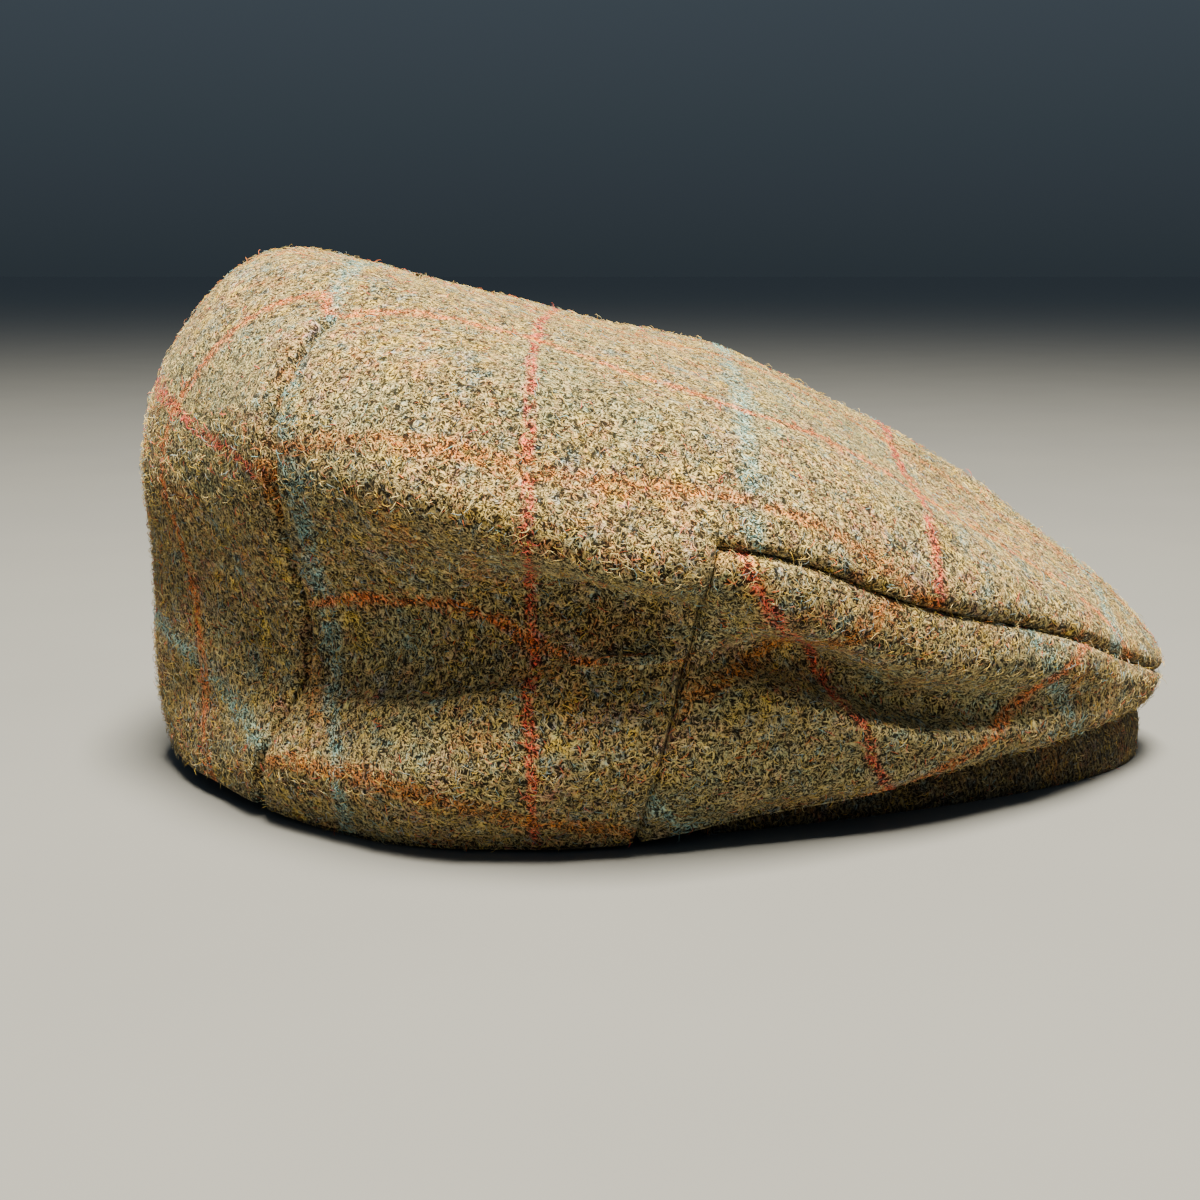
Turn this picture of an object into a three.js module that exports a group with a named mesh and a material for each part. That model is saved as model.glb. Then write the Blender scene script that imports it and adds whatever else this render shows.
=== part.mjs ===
// A soft tweed flat cap, in millimetres, standing by itself on a level surface.
//
// +X points to the peak, +Y to the wearer's left and +Z up. The origin is on the surface,
// under the middle of the cap. The cap is four pieces of cloth work:
//   crown             top, both sides and back in one cloth, pressed in along two rear darts
//   side_panel_right  front side panel, from the drop seam to the middle of the front
//   side_panel_left   the same panel on the other side
//   peak              stiff visor, cloth covered, with its edge turned down to the surface

import * as THREE from "three";

// ---------------------------------------------------------------- driving dimensions

const WALL = 2.2; // tweed, interlining and lining together
const SEAM_GAP = 0.3; // clear space between two cloths that are sewn edge to edge

const SPINE_MIDDLE = 7; // X of the middle of the line that the sections fan out from
const SPINE_HALF = 70; // half the length of that line
const SPINE_RISE = 0.33; // how much higher the cap stands for each step back along it

const HEM = 0;
const RIDGE = 3;
const TOP = 6;

// One row for each section. Heading is the way it points, in degrees from straight ahead.
// Each level gives the distance out from the spine and the height, and top is the height
// over the spine itself.
const SECTIONS = [
  { heading: 0, hem: [46, 15.3], roll: [52.5, 15.8], waist: [55.5, 18.5], ridge: [56.8, 22],
    shoulder: [49, 37], crest: [28, 55.5], top: 76 },
  { heading: 30, hem: [50, 15], roll: [56, 16], waist: [58.5, 21], ridge: [58.5, 31],
    shoulder: [50.5, 43], crest: [32, 58.5], top: 81 },
  { heading: 55, hem: [62, 13], roll: [67, 16], waist: [67.5, 25], ridge: [70, 45],
    shoulder: [63, 56], crest: [40, 70.5], top: 91.5 },
  { heading: 72, hem: [70, 8.5], roll: [77, 16], waist: [74, 30], ridge: [83, 55],
    shoulder: [75, 73], crest: [45, 88], top: 100.5 },
  { heading: 85, hem: [76, 5], roll: [85, 21], waist: [80, 44], ridge: [93.5, 68.5],
    shoulder: [82, 87], crest: [48, 99.5], top: 107.5 },
  { heading: 97, hem: [82, 1.2], roll: [91, 22], waist: [82, 47], ridge: [99, 75],
    shoulder: [86, 97], crest: [50, 107.5], top: 111 },
  { heading: 110, hem: [88, 0], roll: [97, 18], waist: [87, 37], ridge: [103, 84],
    shoulder: [90, 105], crest: [55, 114.5], top: 114.5 },
  { heading: 125, hem: [84, 0], roll: [89, 17], waist: [80, 33], ridge: [96, 86],
    shoulder: [84, 109], crest: [57, 123], top: 118.5 },
  { heading: 145, hem: [76, 4], roll: [77, 19], waist: [72, 37], ridge: [82, 82],
    shoulder: [72, 112], crest: [49, 129], top: 122 },
  { heading: 180, hem: [67.5, 4], roll: [69.5, 20], waist: [69, 40], ridge: [70, 78],
    shoulder: [58.5, 112], crest: [36, 131.5], top: 124.5 },
];
const LEVELS = ["hem", "roll", "waist", "ridge", "shoulder", "crest"];
const LAST_SECTION = SECTIONS.length - 1;

// Stations count sections from the front. The seams lean back as they go down.
const DROP_SEAM = 4.4;
const DART = 7;
const SEAM_LEAN = 0.5;
const LEAN_STARTS = 1.5;
const FLAT_HEM = { from: 5.05, to: 6.5 }; // between these stations the hem lies on the surface

const DART_GROOVE = { halfWidth: 0.16, depth: 1.3, upTo: 5.2, fade: 0.9 };

// Soft folds and dents: where each is centred, how far it reaches and how far it stands
// out of the cloth, with a minus where it sinks in.
const FOLDS = [
  { side: "right", station: 5.9, level: 2.45, along: 1.1, across: 0.55, out: -2.2 },
  { side: "right", station: 4.75, level: 1.15, along: 0.7, across: 0.6, out: 1.2 },
  { side: "right", station: 7.75, level: 2.5, along: 0.45, across: 0.9, out: -2.0 },
  { side: "right", station: 3.2, level: 2.1, along: 0.8, across: 0.4, out: -1.2 },
  { side: "right", station: 8.6, level: 1.6, along: 0.35, across: 0.8, out: 1.2 },
  { side: "left", station: 5.8, level: 2.45, along: 1.4, across: 0.55, out: -2.1 },
  { side: "left", station: 7.7, level: 2.2, along: 0.5, across: 0.9, out: -1.6 },
  { side: "left", station: 3.5, level: 1.2, along: 0.9, across: 0.5, out: 1.0 },
];

// How finely the cloth is divided between its seams, and between the hem, ridge and top.
const STATION_RUNS = [
  { from: 0, to: DROP_SEAM, steps: 18 },
  { from: DROP_SEAM, to: DART - DART_GROOVE.halfWidth, steps: 10 },
  { from: DART - DART_GROOVE.halfWidth, to: DART + DART_GROOVE.halfWidth, steps: 2 },
  { from: DART + DART_GROOVE.halfWidth, to: LAST_SECTION, steps: 8 },
];
const LEVEL_RUNS = [
  { from: HEM, to: RIDGE, steps: 11 },
  { from: RIDGE, to: TOP, steps: 10 },
];

const PEAK = {
  tip: 129, // X of the foremost point of the edge
  halfWidth: 72,
  sweep: 121, // how far the corners lie behind the tip
  innerTip: 62.5, // X of the middle of the edge that is sewn to the head band
  innerHalfWidth: 67,
  innerSweep: 59,
  thickness: 4,
  rimTop: 14.6,
  rimDrop: 8.8, // how much lower the turned edge stands at the corners
  rimFall: 2.5, // the power by which it drops toward them
  innerTop: 22,
  innerDrop: 15,
  turn: 4, // how far in the turn at the top of the edge reaches
  turnUnder: 6, // the same on the underside
  footCut: 0.8, // how far the foot of the edge is cut back
  footRise: 1.6, // the height of that cut on the outside
  footRiseInside: 1, // and on the inside
  insideDrop: 1.5, // how far the inner turn stands below the underside
  steps: 36,
};
// The widest that either turn may be where the peak is narrow, as a share of its width.
const NARROW = { turn: 0.5, turnUnder: 0.8 };
// The bend of the turned edge: shares of the turn's reach and of its height.
const EDGE_BEND = [
  { inward: 0, upward: 0.55 },
  { inward: 0.25, upward: 0.86 },
  { inward: 1, upward: 1 },
];
// The arch of the upper face: shares of the way from the turn to the sewn edge.
const FACE_ARCH = [
  { inward: 0.35, upward: 0.38 },
  { inward: 0.7, upward: 0.74 },
];

const CROWN_FINISH = { color: 0x7d7056, roughness: 0.94, metalness: 0 };
const PANEL_FINISH = { color: 0x6f634b, roughness: 0.95, metalness: 0 };
const PEAK_FINISH = { color: 0x5a4f3c, roughness: 0.96, metalness: 0 };

// ---------------------------------------------------------------- the cloth's surface

const smooth = (value, from, to) => THREE.MathUtils.smoothstep(value, from, to);

/** Value of the smooth curve through b and c, with a before them and d after. */
function catmullRom(a, b, c, d, t) {
  const linear = c - a;
  const square = 2 * a - 5 * b + 4 * c - d;
  const cube = 3 * b - a - 3 * c + d;
  return 0.5 * (2 * b + linear * t + square * t * t + cube * t * t * t);
}

/** A section's row, with the rows past either end mirrored across the middle plane. */
function mirroredSection(index) {
  if (index < 0) {
    return { ...SECTIONS[-index], heading: -SECTIONS[-index].heading };
  }
  if (index > LAST_SECTION) {
    const row = SECTIONS[2 * LAST_SECTION - index];
    return { ...row, heading: 360 - row.heading };
  }
  return SECTIONS[index];
}

/** The section at any station: its heading and its points from the hem to the spine. */
function sectionAt(station) {
  const first = Math.min(Math.floor(station), LAST_SECTION - 1);
  const rows = [-1, 0, 1, 2].map((step) => mirroredSection(first + step));
  const between = (read) => catmullRom(...rows.map(read), station - first);
  const points = LEVELS.map((level) => new THREE.Vector2(
    between((row) => row[level][0]),
    between((row) => row[level][1]),
  ));
  points.push(new THREE.Vector2(0, between((row) => row.top)));
  return { heading: between((row) => row.heading), points };
}

/** The tangent at p1 of a curve through three unevenly spaced points. */
function tangentAt(p0, p1, p2, before, after) {
  return p1.clone().sub(p0).divideScalar(before)
    .sub(p2.clone().sub(p0).divideScalar(before + after))
    .add(p2.clone().sub(p1).divideScalar(after));
}

/** The point that a section would reach on the far side of the spine. */
function pointPastTop(points, angle) {
  const crest = points[TOP - 1];
  const ahead = Math.cos(angle);
  const alongSpine = points[TOP].y + SPINE_RISE * crest.x * ahead;
  return new THREE.Vector2(-crest.x, THREE.MathUtils.lerp(crest.y, alongSpine, ahead * ahead));
}

/** Distance out and height on a section at any level, on a centripetal curve. */
function profilePoint(points, angle, level) {
  const beforeHem = points[0].clone().multiplyScalar(2).sub(points[1]);
  const path = [beforeHem, ...points, pointPastTop(points, angle)];
  const first = Math.min(Math.floor(level), TOP - 1);
  const [p0, p1, p2, p3] = path.slice(first, first + 4);
  const step = (a, b) => Math.sqrt(Math.max(a.distanceTo(b), 1e-6));
  const [before, middle, after] = [step(p0, p1), step(p1, p2), step(p2, p3)];
  const start = tangentAt(p0, p1, p2, before, middle).multiplyScalar(middle);
  const end = tangentAt(p1, p2, p3, middle, after).multiplyScalar(middle);
  const t = level - first;
  const chord = p2.clone().sub(p1);
  const square = chord.clone().multiplyScalar(3).sub(start.clone().multiplyScalar(2)).sub(end);
  const cube = chord.multiplyScalar(-2).add(start).add(end);
  return p1.clone()
    .add(start.multiplyScalar(t))
    .add(square.multiplyScalar(t * t))
    .add(cube.multiplyScalar(t * t * t));
}

/** How far a grid line has moved back along the sections by the time it reaches a level. */
function leanedStation(station, level) {
  const rise = smooth(station, LEAN_STARTS, DROP_SEAM);
  const fall = 1 - smooth(station, DART, LAST_SECTION);
  const below = Math.max(0, 1 - level / RIDGE);
  return station + SEAM_LEAN * below * Math.min(rise, fall);
}

/** A point of the smooth cloth, before its folds. */
function clothPoint(station, level, sign) {
  const { heading, points } = sectionAt(leanedStation(station, level));
  const angle = THREE.MathUtils.degToRad(heading);
  const profile = profilePoint(points, angle, level);
  const x = SPINE_MIDDLE + (SPINE_HALF + profile.x) * Math.cos(angle);
  const y = sign * profile.x * Math.sin(angle);
  return new THREE.Vector3(x, y, profile.y);
}

/** How far the folds and the dart move the cloth out at a station and level. */
function foldHeight(station, level, side) {
  let height = 0;
  for (const fold of FOLDS) {
    if (fold.side === side) {
      const along = (station - fold.station) / fold.along;
      const across = (level - fold.level) / fold.across;
      height += fold.out * Math.exp(-along * along - across * across);
    }
  }
  const nearDart = Math.max(0, 1 - Math.abs(station - DART) / DART_GROOVE.halfWidth);
  const belowEnd = 1 - smooth(level, DART_GROOVE.upTo - DART_GROOVE.fade, DART_GROOVE.upTo);
  const aboveHem = smooth(level, HEM, 1);
  return height - DART_GROOVE.depth * nearDart * belowEnd * aboveHem;
}

// ---------------------------------------------------------------- the grid of the cloth

/** The positions of the grid lines along a list of runs. */
function gridLines(runs) {
  const lines = [runs[0].from];
  for (const run of runs) {
    for (let step = 1; step <= run.steps; step += 1) {
      lines.push(run.from + ((run.to - run.from) * step) / run.steps);
    }
  }
  return lines;
}

/** Unit normals at the vertices of a mesh of four-sided cells. */
function cellNormals(vertices, cells) {
  const normals = vertices.map(() => new THREE.Vector3());
  for (const { corners } of cells) {
    const [a, b, c, d] = corners.map((corner) => vertices[corner]);
    const across = new THREE.Vector3().crossVectors(c.clone().sub(a), d.clone().sub(b));
    corners.forEach((corner) => normals[corner].add(across));
  }
  return normals.map((normal) => normal.normalize());
}

/** The whole cap's outer cloth as one mesh, from which each piece takes its cells. */
function layOutCloth() {
  const stations = gridLines(STATION_RUNS);
  const levels = gridLines(LEVEL_RUNS);
  const vertices = [];
  const places = [];
  const known = new Map();
  const vertexAt = (side, i, j) => {
    const onMiddlePlane = i === 0 || i === stations.length - 1 || j === levels.length - 1;
    const key = `${onMiddlePlane ? "middle" : side}/${i}/${j}`;
    if (!known.has(key)) {
      const sign = side === "right" ? -1 : 1;
      const point = clothPoint(stations[i], levels[j], sign);
      if (onMiddlePlane) {
        point.y = 0;
      }
      known.set(key, vertices.length);
      vertices.push(point);
      places.push({ side, station: stations[i], level: levels[j] });
    }
    return known.get(key);
  };
  const cells = [];
  for (const side of ["right", "left"]) {
    for (let i = 0; i + 1 < stations.length; i += 1) {
      for (let j = 0; j + 1 < levels.length; j += 1) {
        const corners = [
          vertexAt(side, i, j),
          vertexAt(side, i, j + 1),
          vertexAt(side, i + 1, j + 1),
          vertexAt(side, i + 1, j),
        ];
        if (side === "left") {
          corners.reverse();
        }
        const station = (stations[i] + stations[i + 1]) / 2;
        const level = (levels[j] + levels[j + 1]) / 2;
        cells.push({ side, station, level, corners });
      }
    }
  }
  const flat = cellNormals(vertices, cells);
  vertices.forEach((vertex, index) => {
    const { side, station, level } = places[index];
    vertex.addScaledVector(flat[index], foldHeight(station, level, side));
    if (level === HEM && station >= FLAT_HEM.from && station <= FLAT_HEM.to) {
      vertex.z = 0;
    }
  });
  return { vertices, places, cells, normals: cellNormals(vertices, cells) };
}

// ---------------------------------------------------------------- cutting out the pieces

/** The edges that belong to only one of the cells, with the way from each into the cloth. */
function openEdges(cloth, cells) {
  const seen = new Set();
  for (const { corners } of cells) {
    corners.forEach((corner, index) => seen.add(`${corner}/${corners[(index + 1) % 4]}`));
  }
  const edges = [];
  for (const { corners } of cells) {
    const middle = new THREE.Vector3();
    corners.forEach((corner) => middle.addScaledVector(cloth.vertices[corner], 0.25));
    corners.forEach((start, index) => {
      const end = corners[(index + 1) % 4];
      if (!seen.has(`${end}/${start}`)) {
        const run = cloth.vertices[end].clone().sub(cloth.vertices[start]);
        const inward = middle.clone().sub(cloth.vertices[start]);
        inward.addScaledVector(run, -inward.dot(run) / run.lengthSq()).normalize();
        const isHem = cloth.places[start].level === HEM && cloth.places[end].level === HEM;
        edges.push({ start, end, inward, isHem });
      }
    });
  }
  return edges;
}

/** How far each vertex on a seam steps back, so that the gap stays open beside it. */
function seamSteps(edges) {
  const inwards = new Map();
  for (const { start, end, inward, isHem } of edges) {
    if (!isHem) {
      for (const corner of [start, end]) {
        inwards.set(corner, [...(inwards.get(corner) ?? []), inward]);
      }
    }
  }
  const steps = new Map();
  for (const [corner, ways] of inwards) {
    const last = ways[ways.length - 1];
    const both = ways[0].clone().add(last);
    const scale = ways.length > 1 ? 1 / (1 + ways[0].dot(last)) : 0.5;
    steps.set(corner, both.multiplyScalar((SEAM_GAP / 2) * scale));
  }
  return steps;
}

/** A closed wall of cloth over some of the cells, with its cut edges closed. */
function clothWall(cloth, cells) {
  const edges = openEdges(cloth, cells);
  const steps = seamSteps(edges);
  const positions = [];
  const index = [];
  const numbers = new Map();
  const numberOf = (corner) => {
    if (!numbers.has(corner)) {
      const { station, level } = cloth.places[corner];
      const outer = cloth.vertices[corner].clone();
      outer.add(steps.get(corner) ?? new THREE.Vector3());
      const inner = outer.clone().addScaledVector(cloth.normals[corner], -WALL);
      if (level === HEM && station >= DROP_SEAM) {
        inner.z = outer.z;
      }
      numbers.set(corner, positions.length / 3);
      positions.push(...outer.toArray(), ...inner.toArray());
    }
    return numbers.get(corner);
  };
  for (const { corners } of cells) {
    const [a, b, c, d] = corners.map(numberOf);
    index.push(a, b, c, a, c, d);
    index.push(a + 1, c + 1, b + 1, a + 1, d + 1, c + 1);
  }
  for (const { start, end } of edges) {
    const [a, b] = [numberOf(start), numberOf(end)];
    index.push(a, a + 1, b + 1, a, b + 1, b);
  }
  return bodyOf(positions, index);
}

/** A BufferGeometry from plain lists of coordinates and corner numbers. */
function bodyOf(positions, index) {
  const geometry = new THREE.BufferGeometry();
  geometry.setAttribute("position", new THREE.Float32BufferAttribute(positions, 3));
  geometry.setIndex(index);
  geometry.computeVertexNormals();
  return geometry;
}

// ---------------------------------------------------------------- the peak

/** The peak's section at one place across it, as points of distance in and height. */
function peakSection(across, width) {
  const rim = PEAK.rimTop - PEAK.rimDrop * Math.abs(across) ** PEAK.rimFall;
  const inner = PEAK.innerTop - PEAK.innerDrop * across * across;
  const turn = Math.min(PEAK.turn, width * NARROW.turn);
  const turnUnder = Math.min(PEAK.turnUnder, width * NARROW.turnUnder);
  const edge = EDGE_BEND.map(({ inward, upward }) => [turn * inward, rim * upward]);
  const face = FACE_ARCH.map(({ inward, upward }) => [
    THREE.MathUtils.lerp(turn, width, inward),
    THREE.MathUtils.lerp(rim, inner, upward),
  ]);
  const underside = face.map(([distance, height]) => [distance, height - PEAK.thickness]);
  const insideTurn = Math.max(rim - PEAK.thickness - PEAK.insideDrop, PEAK.footRise);
  return [
    [PEAK.footCut, 0],
    [0, PEAK.footRise],
    ...edge,
    ...face,
    [width, inner],
    [width, inner - PEAK.thickness],
    ...underside.reverse(),
    [turnUnder, rim - PEAK.thickness],
    [PEAK.thickness, insideTurn],
    [PEAK.thickness - PEAK.footCut / 2, PEAK.footRiseInside],
    [PEAK.thickness - PEAK.footCut, 0],
  ];
}

/** The peak's outer edge and its section there, at one place from -1 to 1 across it. */
function peakStation(across) {
  const back = across * across;
  const outer = new THREE.Vector2(PEAK.tip - PEAK.sweep * back, PEAK.halfWidth * across);
  const inner = new THREE.Vector2(
    PEAK.innerTip - PEAK.innerSweep * back,
    PEAK.innerHalfWidth * across,
  );
  const width = outer.distanceTo(inner);
  const way = inner.sub(outer).divideScalar(width);
  return { outer, way, section: peakSection(across, width) };
}

/** The visor: its section carried round from the right corner to the left one. */
function peakBody() {
  const positions = [];
  const index = [];
  for (let step = 0; step <= PEAK.steps; step += 1) {
    const { outer, way, section } = peakStation((2 * step) / PEAK.steps - 1);
    for (const [distance, height] of section) {
      positions.push(outer.x + way.x * distance, outer.y + way.y * distance, height);
    }
  }
  const outline = peakStation(-1).section.map((point) => new THREE.Vector2(...point));
  const ring = outline.length;
  for (let step = 0; step < PEAK.steps; step += 1) {
    for (let point = 0; point < ring; point += 1) {
      const a = step * ring + point;
      const b = step * ring + ((point + 1) % ring);
      index.push(a, a + ring, b, b, a + ring, b + ring);
    }
  }
  const last = PEAK.steps * ring;
  for (const [a, b, c] of THREE.ShapeUtils.triangulateShape(outline, [])) {
    index.push(a, c, b);
    index.push(last + a, last + b, last + c);
  }
  return bodyOf(positions, index);
}

// ---------------------------------------------------------------- the cap

/** One named piece with its own material. */
function piece(name, geometry, finish) {
  const mesh = new THREE.Mesh(geometry, new THREE.MeshStandardMaterial(finish));
  mesh.name = name;
  return mesh;
}

const cloth = layOutCloth();
const isPanel = (cell) => cell.level < RIDGE && cell.station < DROP_SEAM;
const panelCells = (side) => cloth.cells.filter((cell) => isPanel(cell) && cell.side === side);
const crownCells = cloth.cells.filter((cell) => !isPanel(cell));

const cap = new THREE.Group();
cap.add(piece("crown", clothWall(cloth, crownCells), CROWN_FINISH));
cap.add(piece("side_panel_right", clothWall(cloth, panelCells("right")), PANEL_FINISH));
cap.add(piece("side_panel_left", clothWall(cloth, panelCells("left")), PANEL_FINISH));
cap.add(piece("peak", peakBody(), PEAK_FINISH));

export default cap;
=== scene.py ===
"""A soft tweed flat cap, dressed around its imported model.

The cap stands on a level floor with +X to the peak, +Y to the wearer's left and +Z up.
Sizes are in millimetres until a mesh is made. The cloth is one surface over a grid of
stations, from the middle of the front to the middle of the back, and levels, from the hem
up to the line along the top. The crown and the two front panels are cut out of it.
"""

import logging
import math
from dataclasses import dataclass, field
from enum import Enum, IntEnum
from itertools import product

import bpy
import numpy as np
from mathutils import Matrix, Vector, noise


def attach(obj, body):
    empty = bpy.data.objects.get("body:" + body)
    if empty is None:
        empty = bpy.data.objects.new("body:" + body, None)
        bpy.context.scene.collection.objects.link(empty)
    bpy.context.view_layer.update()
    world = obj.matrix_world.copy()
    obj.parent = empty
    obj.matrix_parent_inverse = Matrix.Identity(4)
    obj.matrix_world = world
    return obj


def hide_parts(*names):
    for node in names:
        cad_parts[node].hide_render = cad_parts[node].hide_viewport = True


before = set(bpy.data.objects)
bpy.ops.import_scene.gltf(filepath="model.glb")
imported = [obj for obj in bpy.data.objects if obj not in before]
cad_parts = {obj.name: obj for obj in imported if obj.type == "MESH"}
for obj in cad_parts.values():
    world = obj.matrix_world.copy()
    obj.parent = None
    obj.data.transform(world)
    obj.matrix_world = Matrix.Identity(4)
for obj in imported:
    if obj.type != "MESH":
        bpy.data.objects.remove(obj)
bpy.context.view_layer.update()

LOG = logging.getLogger("flat_cap")
MM = 0.001  # one millimetre in metres
CLOTH_MAP = "Cloth"  # where each point lies on the flat cloth, in decimetres
YARN_MAP = "OFBake"  # which dyed yarn a loose fibre was spun from

Array = np.ndarray
Color = tuple[float, float, float]
Socket = bpy.types.NodeSocket


class Side(Enum):
    """The wearer's right or left, as the sign of Y."""

    RIGHT = -1
    LEFT = 1


class Level(IntEnum):
    """The named heights of a section, from the hem to the line along the top."""

    HEM = 0
    ROLL = 1
    WAIST = 2
    RIDGE = 3
    SHOULDER = 4
    CREST = 5
    TOP = 6


class Yarn(Enum):
    """The dyed wools of the tweed, with the colour of each."""

    CREAM = (0.68, 0.525, 0.215)
    FAWN = (0.52, 0.36, 0.105)
    OCHRE = (0.62, 0.41, 0.05)
    MOSS = (0.27, 0.27, 0.13)
    RUST = (0.62, 0.135, 0.02)
    SCARLET = (0.58, 0.055, 0.03)
    SLATE = (0.24, 0.31, 0.33)
    TEAL = (0.185, 0.385, 0.385)
    CHESTNUT = (0.44, 0.135, 0.015)
    PEAT = (0.10, 0.07, 0.045)


YARNS = list(Yarn)
MIXTURE = {  # each wool's share of the loose fibres
    Yarn.CREAM: 0.25, Yarn.FAWN: 0.22, Yarn.OCHRE: 0.17, Yarn.MOSS: 0.13, Yarn.RUST: 0.05,
    Yarn.SCARLET: 0.02, Yarn.SLATE: 0.08, Yarn.TEAL: 0.03, Yarn.CHESTNUT: 0.03, Yarn.PEAT: 0.02,
}


# ------------------------------------------------------------------ the shape of the cap


@dataclass(frozen=True)
class Section:
    """One section of the cap, fanned out from the line along its top.

    Heading is the way it points, in degrees from straight ahead. Each level gives the
    distance out from the line and the height, and top is the height over the line itself.
    """

    heading: float
    hem: tuple[float, float]
    roll: tuple[float, float]
    waist: tuple[float, float]
    ridge: tuple[float, float]
    shoulder: tuple[float, float]
    crest: tuple[float, float]
    top: float

    def row(self, mirror: float = 0.0, sign: float = 1.0) -> list[float]:
        """The section as one row of numbers, with its heading as mirror + sign * heading."""
        levels = (self.hem, self.roll, self.waist, self.ridge, self.shoulder, self.crest)
        return [mirror + sign * self.heading, *[n for pair in levels for n in pair], self.top]


@dataclass(frozen=True)
class Fold:
    """A soft fold or dent: its place, its reach, and how far it stands out in millimetres."""

    station: float
    level: float
    along: float
    across: float
    out: float

    def height(self, station: Array, level: Array) -> Array:
        """How far it moves the cloth out.

        Args:
            station: Any stations.
            level: The level at each of them.

        Returns:
            Heights, in millimetres.
        """
        along = (station - self.station) / self.along
        across = (level - self.level) / self.across
        return self.out * np.exp(-(along**2) - across**2)


SECTIONS = (
    Section(0, (46, 15.3), (52.5, 15.8), (55.5, 18.5), (56.8, 22), (49, 37), (28, 55.5), 76),
    Section(30, (50, 15), (56, 16), (58.5, 21), (58.5, 31), (50.5, 43), (32, 58.5), 81),
    Section(55, (62, 13), (67, 16), (67.5, 25), (70, 45), (63, 56), (40, 70.5), 91.5),
    Section(72, (70, 8.5), (77, 16), (74, 30), (83, 55), (75, 73), (45, 88), 100.5),
    Section(85, (76, 5), (85, 21), (80, 44), (93.5, 68.5), (82, 87), (48, 99.5), 107.5),
    Section(97, (82, 1.2), (91, 22), (82, 47), (99, 75), (86, 97), (50, 107.5), 111),
    Section(110, (88, 0), (97, 18), (87, 37), (103, 84), (90, 105), (55, 114.5), 114.5),
    Section(125, (84, 0), (89, 17), (80, 33), (96, 86), (84, 109), (57, 123), 118.5),
    Section(145, (76, 4), (77, 19), (72, 37), (82, 82), (72, 112), (49, 129), 122),
    Section(180, (67.5, 4), (69.5, 20), (69, 40), (70, 78), (58.5, 112), (36, 131.5), 124.5),
)

FOLDS = {
    Side.RIGHT: (
        # the hollow of the side, and the notch under its lip
        Fold(5.9, 2.45, along=1.1, across=0.55, out=-2.2),
        Fold(6.3, 2.45, along=0.9, across=0.34, out=-3.4),
        Fold(5.0, 2.46, along=0.7, across=0.20, out=-5.2),
        Fold(6.0, 2.32, along=0.9, across=0.20, out=-2.0),
        # the lip that hangs over it
        Fold(4.9, 2.79, along=0.65, across=0.22, out=4.4),
        Fold(5.9, 2.90, along=0.6, across=0.20, out=1.8),
        Fold(5.2, 2.90, along=1.0, across=0.40, out=4.0),
        # the band that stands out below it
        Fold(4.8, 2.17, along=0.60, across=0.28, out=10.0),
        Fold(4.9, 1.65, along=0.8, across=0.50, out=6.2),
        Fold(5.8, 1.90, along=0.7, across=0.34, out=5.0),
        Fold(6.7, 1.85, along=0.5, across=0.38, out=2.4),
        # slack cloth beside the dart and above the hem
        Fold(6.9, 2.95, along=0.45, across=0.35, out=-2.0),
        Fold(5.6, 1.40, along=1.2, across=0.42, out=1.4),
        Fold(4.75, 1.15, along=0.7, across=0.6, out=1.2),
        Fold(7.75, 2.5, along=0.45, across=0.9, out=-2.0),
        # the two rolls of the front panel and the valleys beside them
        Fold(3.2, 2.1, along=0.8, across=0.4, out=-1.2),
        Fold(3.0, 2.54, along=1.1, across=0.28, out=3.8),
        Fold(4.0, 2.52, along=0.55, across=0.30, out=4.2),
        Fold(3.75, 2.08, along=0.5, across=0.20, out=-3.0),
        Fold(3.7, 1.62, along=0.6, across=0.28, out=4.2),
        Fold(2.9, 2.09, along=0.7, across=0.24, out=-2.8),
        Fold(2.8, 1.58, along=0.7, across=0.26, out=3.2),
        Fold(1.9, 2.25, along=0.6, across=0.25, out=-1.4),
        Fold(3.4, 1.00, along=0.9, across=0.35, out=-1.6),
        # the back
        Fold(7.9, 1.95, along=0.6, across=0.42, out=4.5),
        Fold(8.6, 1.6, along=0.35, across=0.8, out=1.2),
        Fold(8.0, 1.1, along=0.6, across=0.5, out=-1.2),
    ),
    Side.LEFT: (
        Fold(5.8, 2.45, along=1.4, across=0.55, out=-2.1),
        Fold(5.4, 2.30, along=0.8, across=0.35, out=-2.0),
        Fold(6.2, 1.50, along=0.9, across=0.4, out=1.0),
        Fold(7.7, 2.2, along=0.5, across=0.9, out=-1.6),
        Fold(3.5, 1.2, along=0.9, across=0.5, out=1.0),
        Fold(3.2, 2.0, along=1.0, across=0.32, out=-1.8),
        Fold(3.0, 2.66, along=1.1, across=0.22, out=1.2),
    ),
}

LAST_STATION = float(len(SECTIONS) - 1)
DROP_SEAM = 4.4  # the station of the seam between a front panel and the crown
DART = 7.0  # the station of a rear dart


def smooth(value: Array | float, start: float, end: float) -> Array:
    """A smooth step from 0 at start to 1 at end."""
    t = np.clip((np.asarray(value, float) - start) / (end - start), 0.0, 1.0)
    return t * t * (3 - 2 * t)


def catmull_rom(rows: list[Array], t: Array) -> Array:
    """The smooth curve through the middle two of four points.

    Args:
        rows: The four points.
        t: How far along from the second to the third.

    Returns:
        The points on the curve.
    """
    a, b, c, d = rows
    square = 2 * a - 5 * b + 4 * c - d
    cube = 3 * b - a - 3 * c + d
    return 0.5 * (2 * b + (c - a) * t + square * t * t + cube * t**3)


def unit(vectors: Array) -> Array:
    """The vectors at a length of one."""
    return vectors / np.maximum(np.linalg.norm(vectors, axis=-1, keepdims=True), 1e-9)


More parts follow.
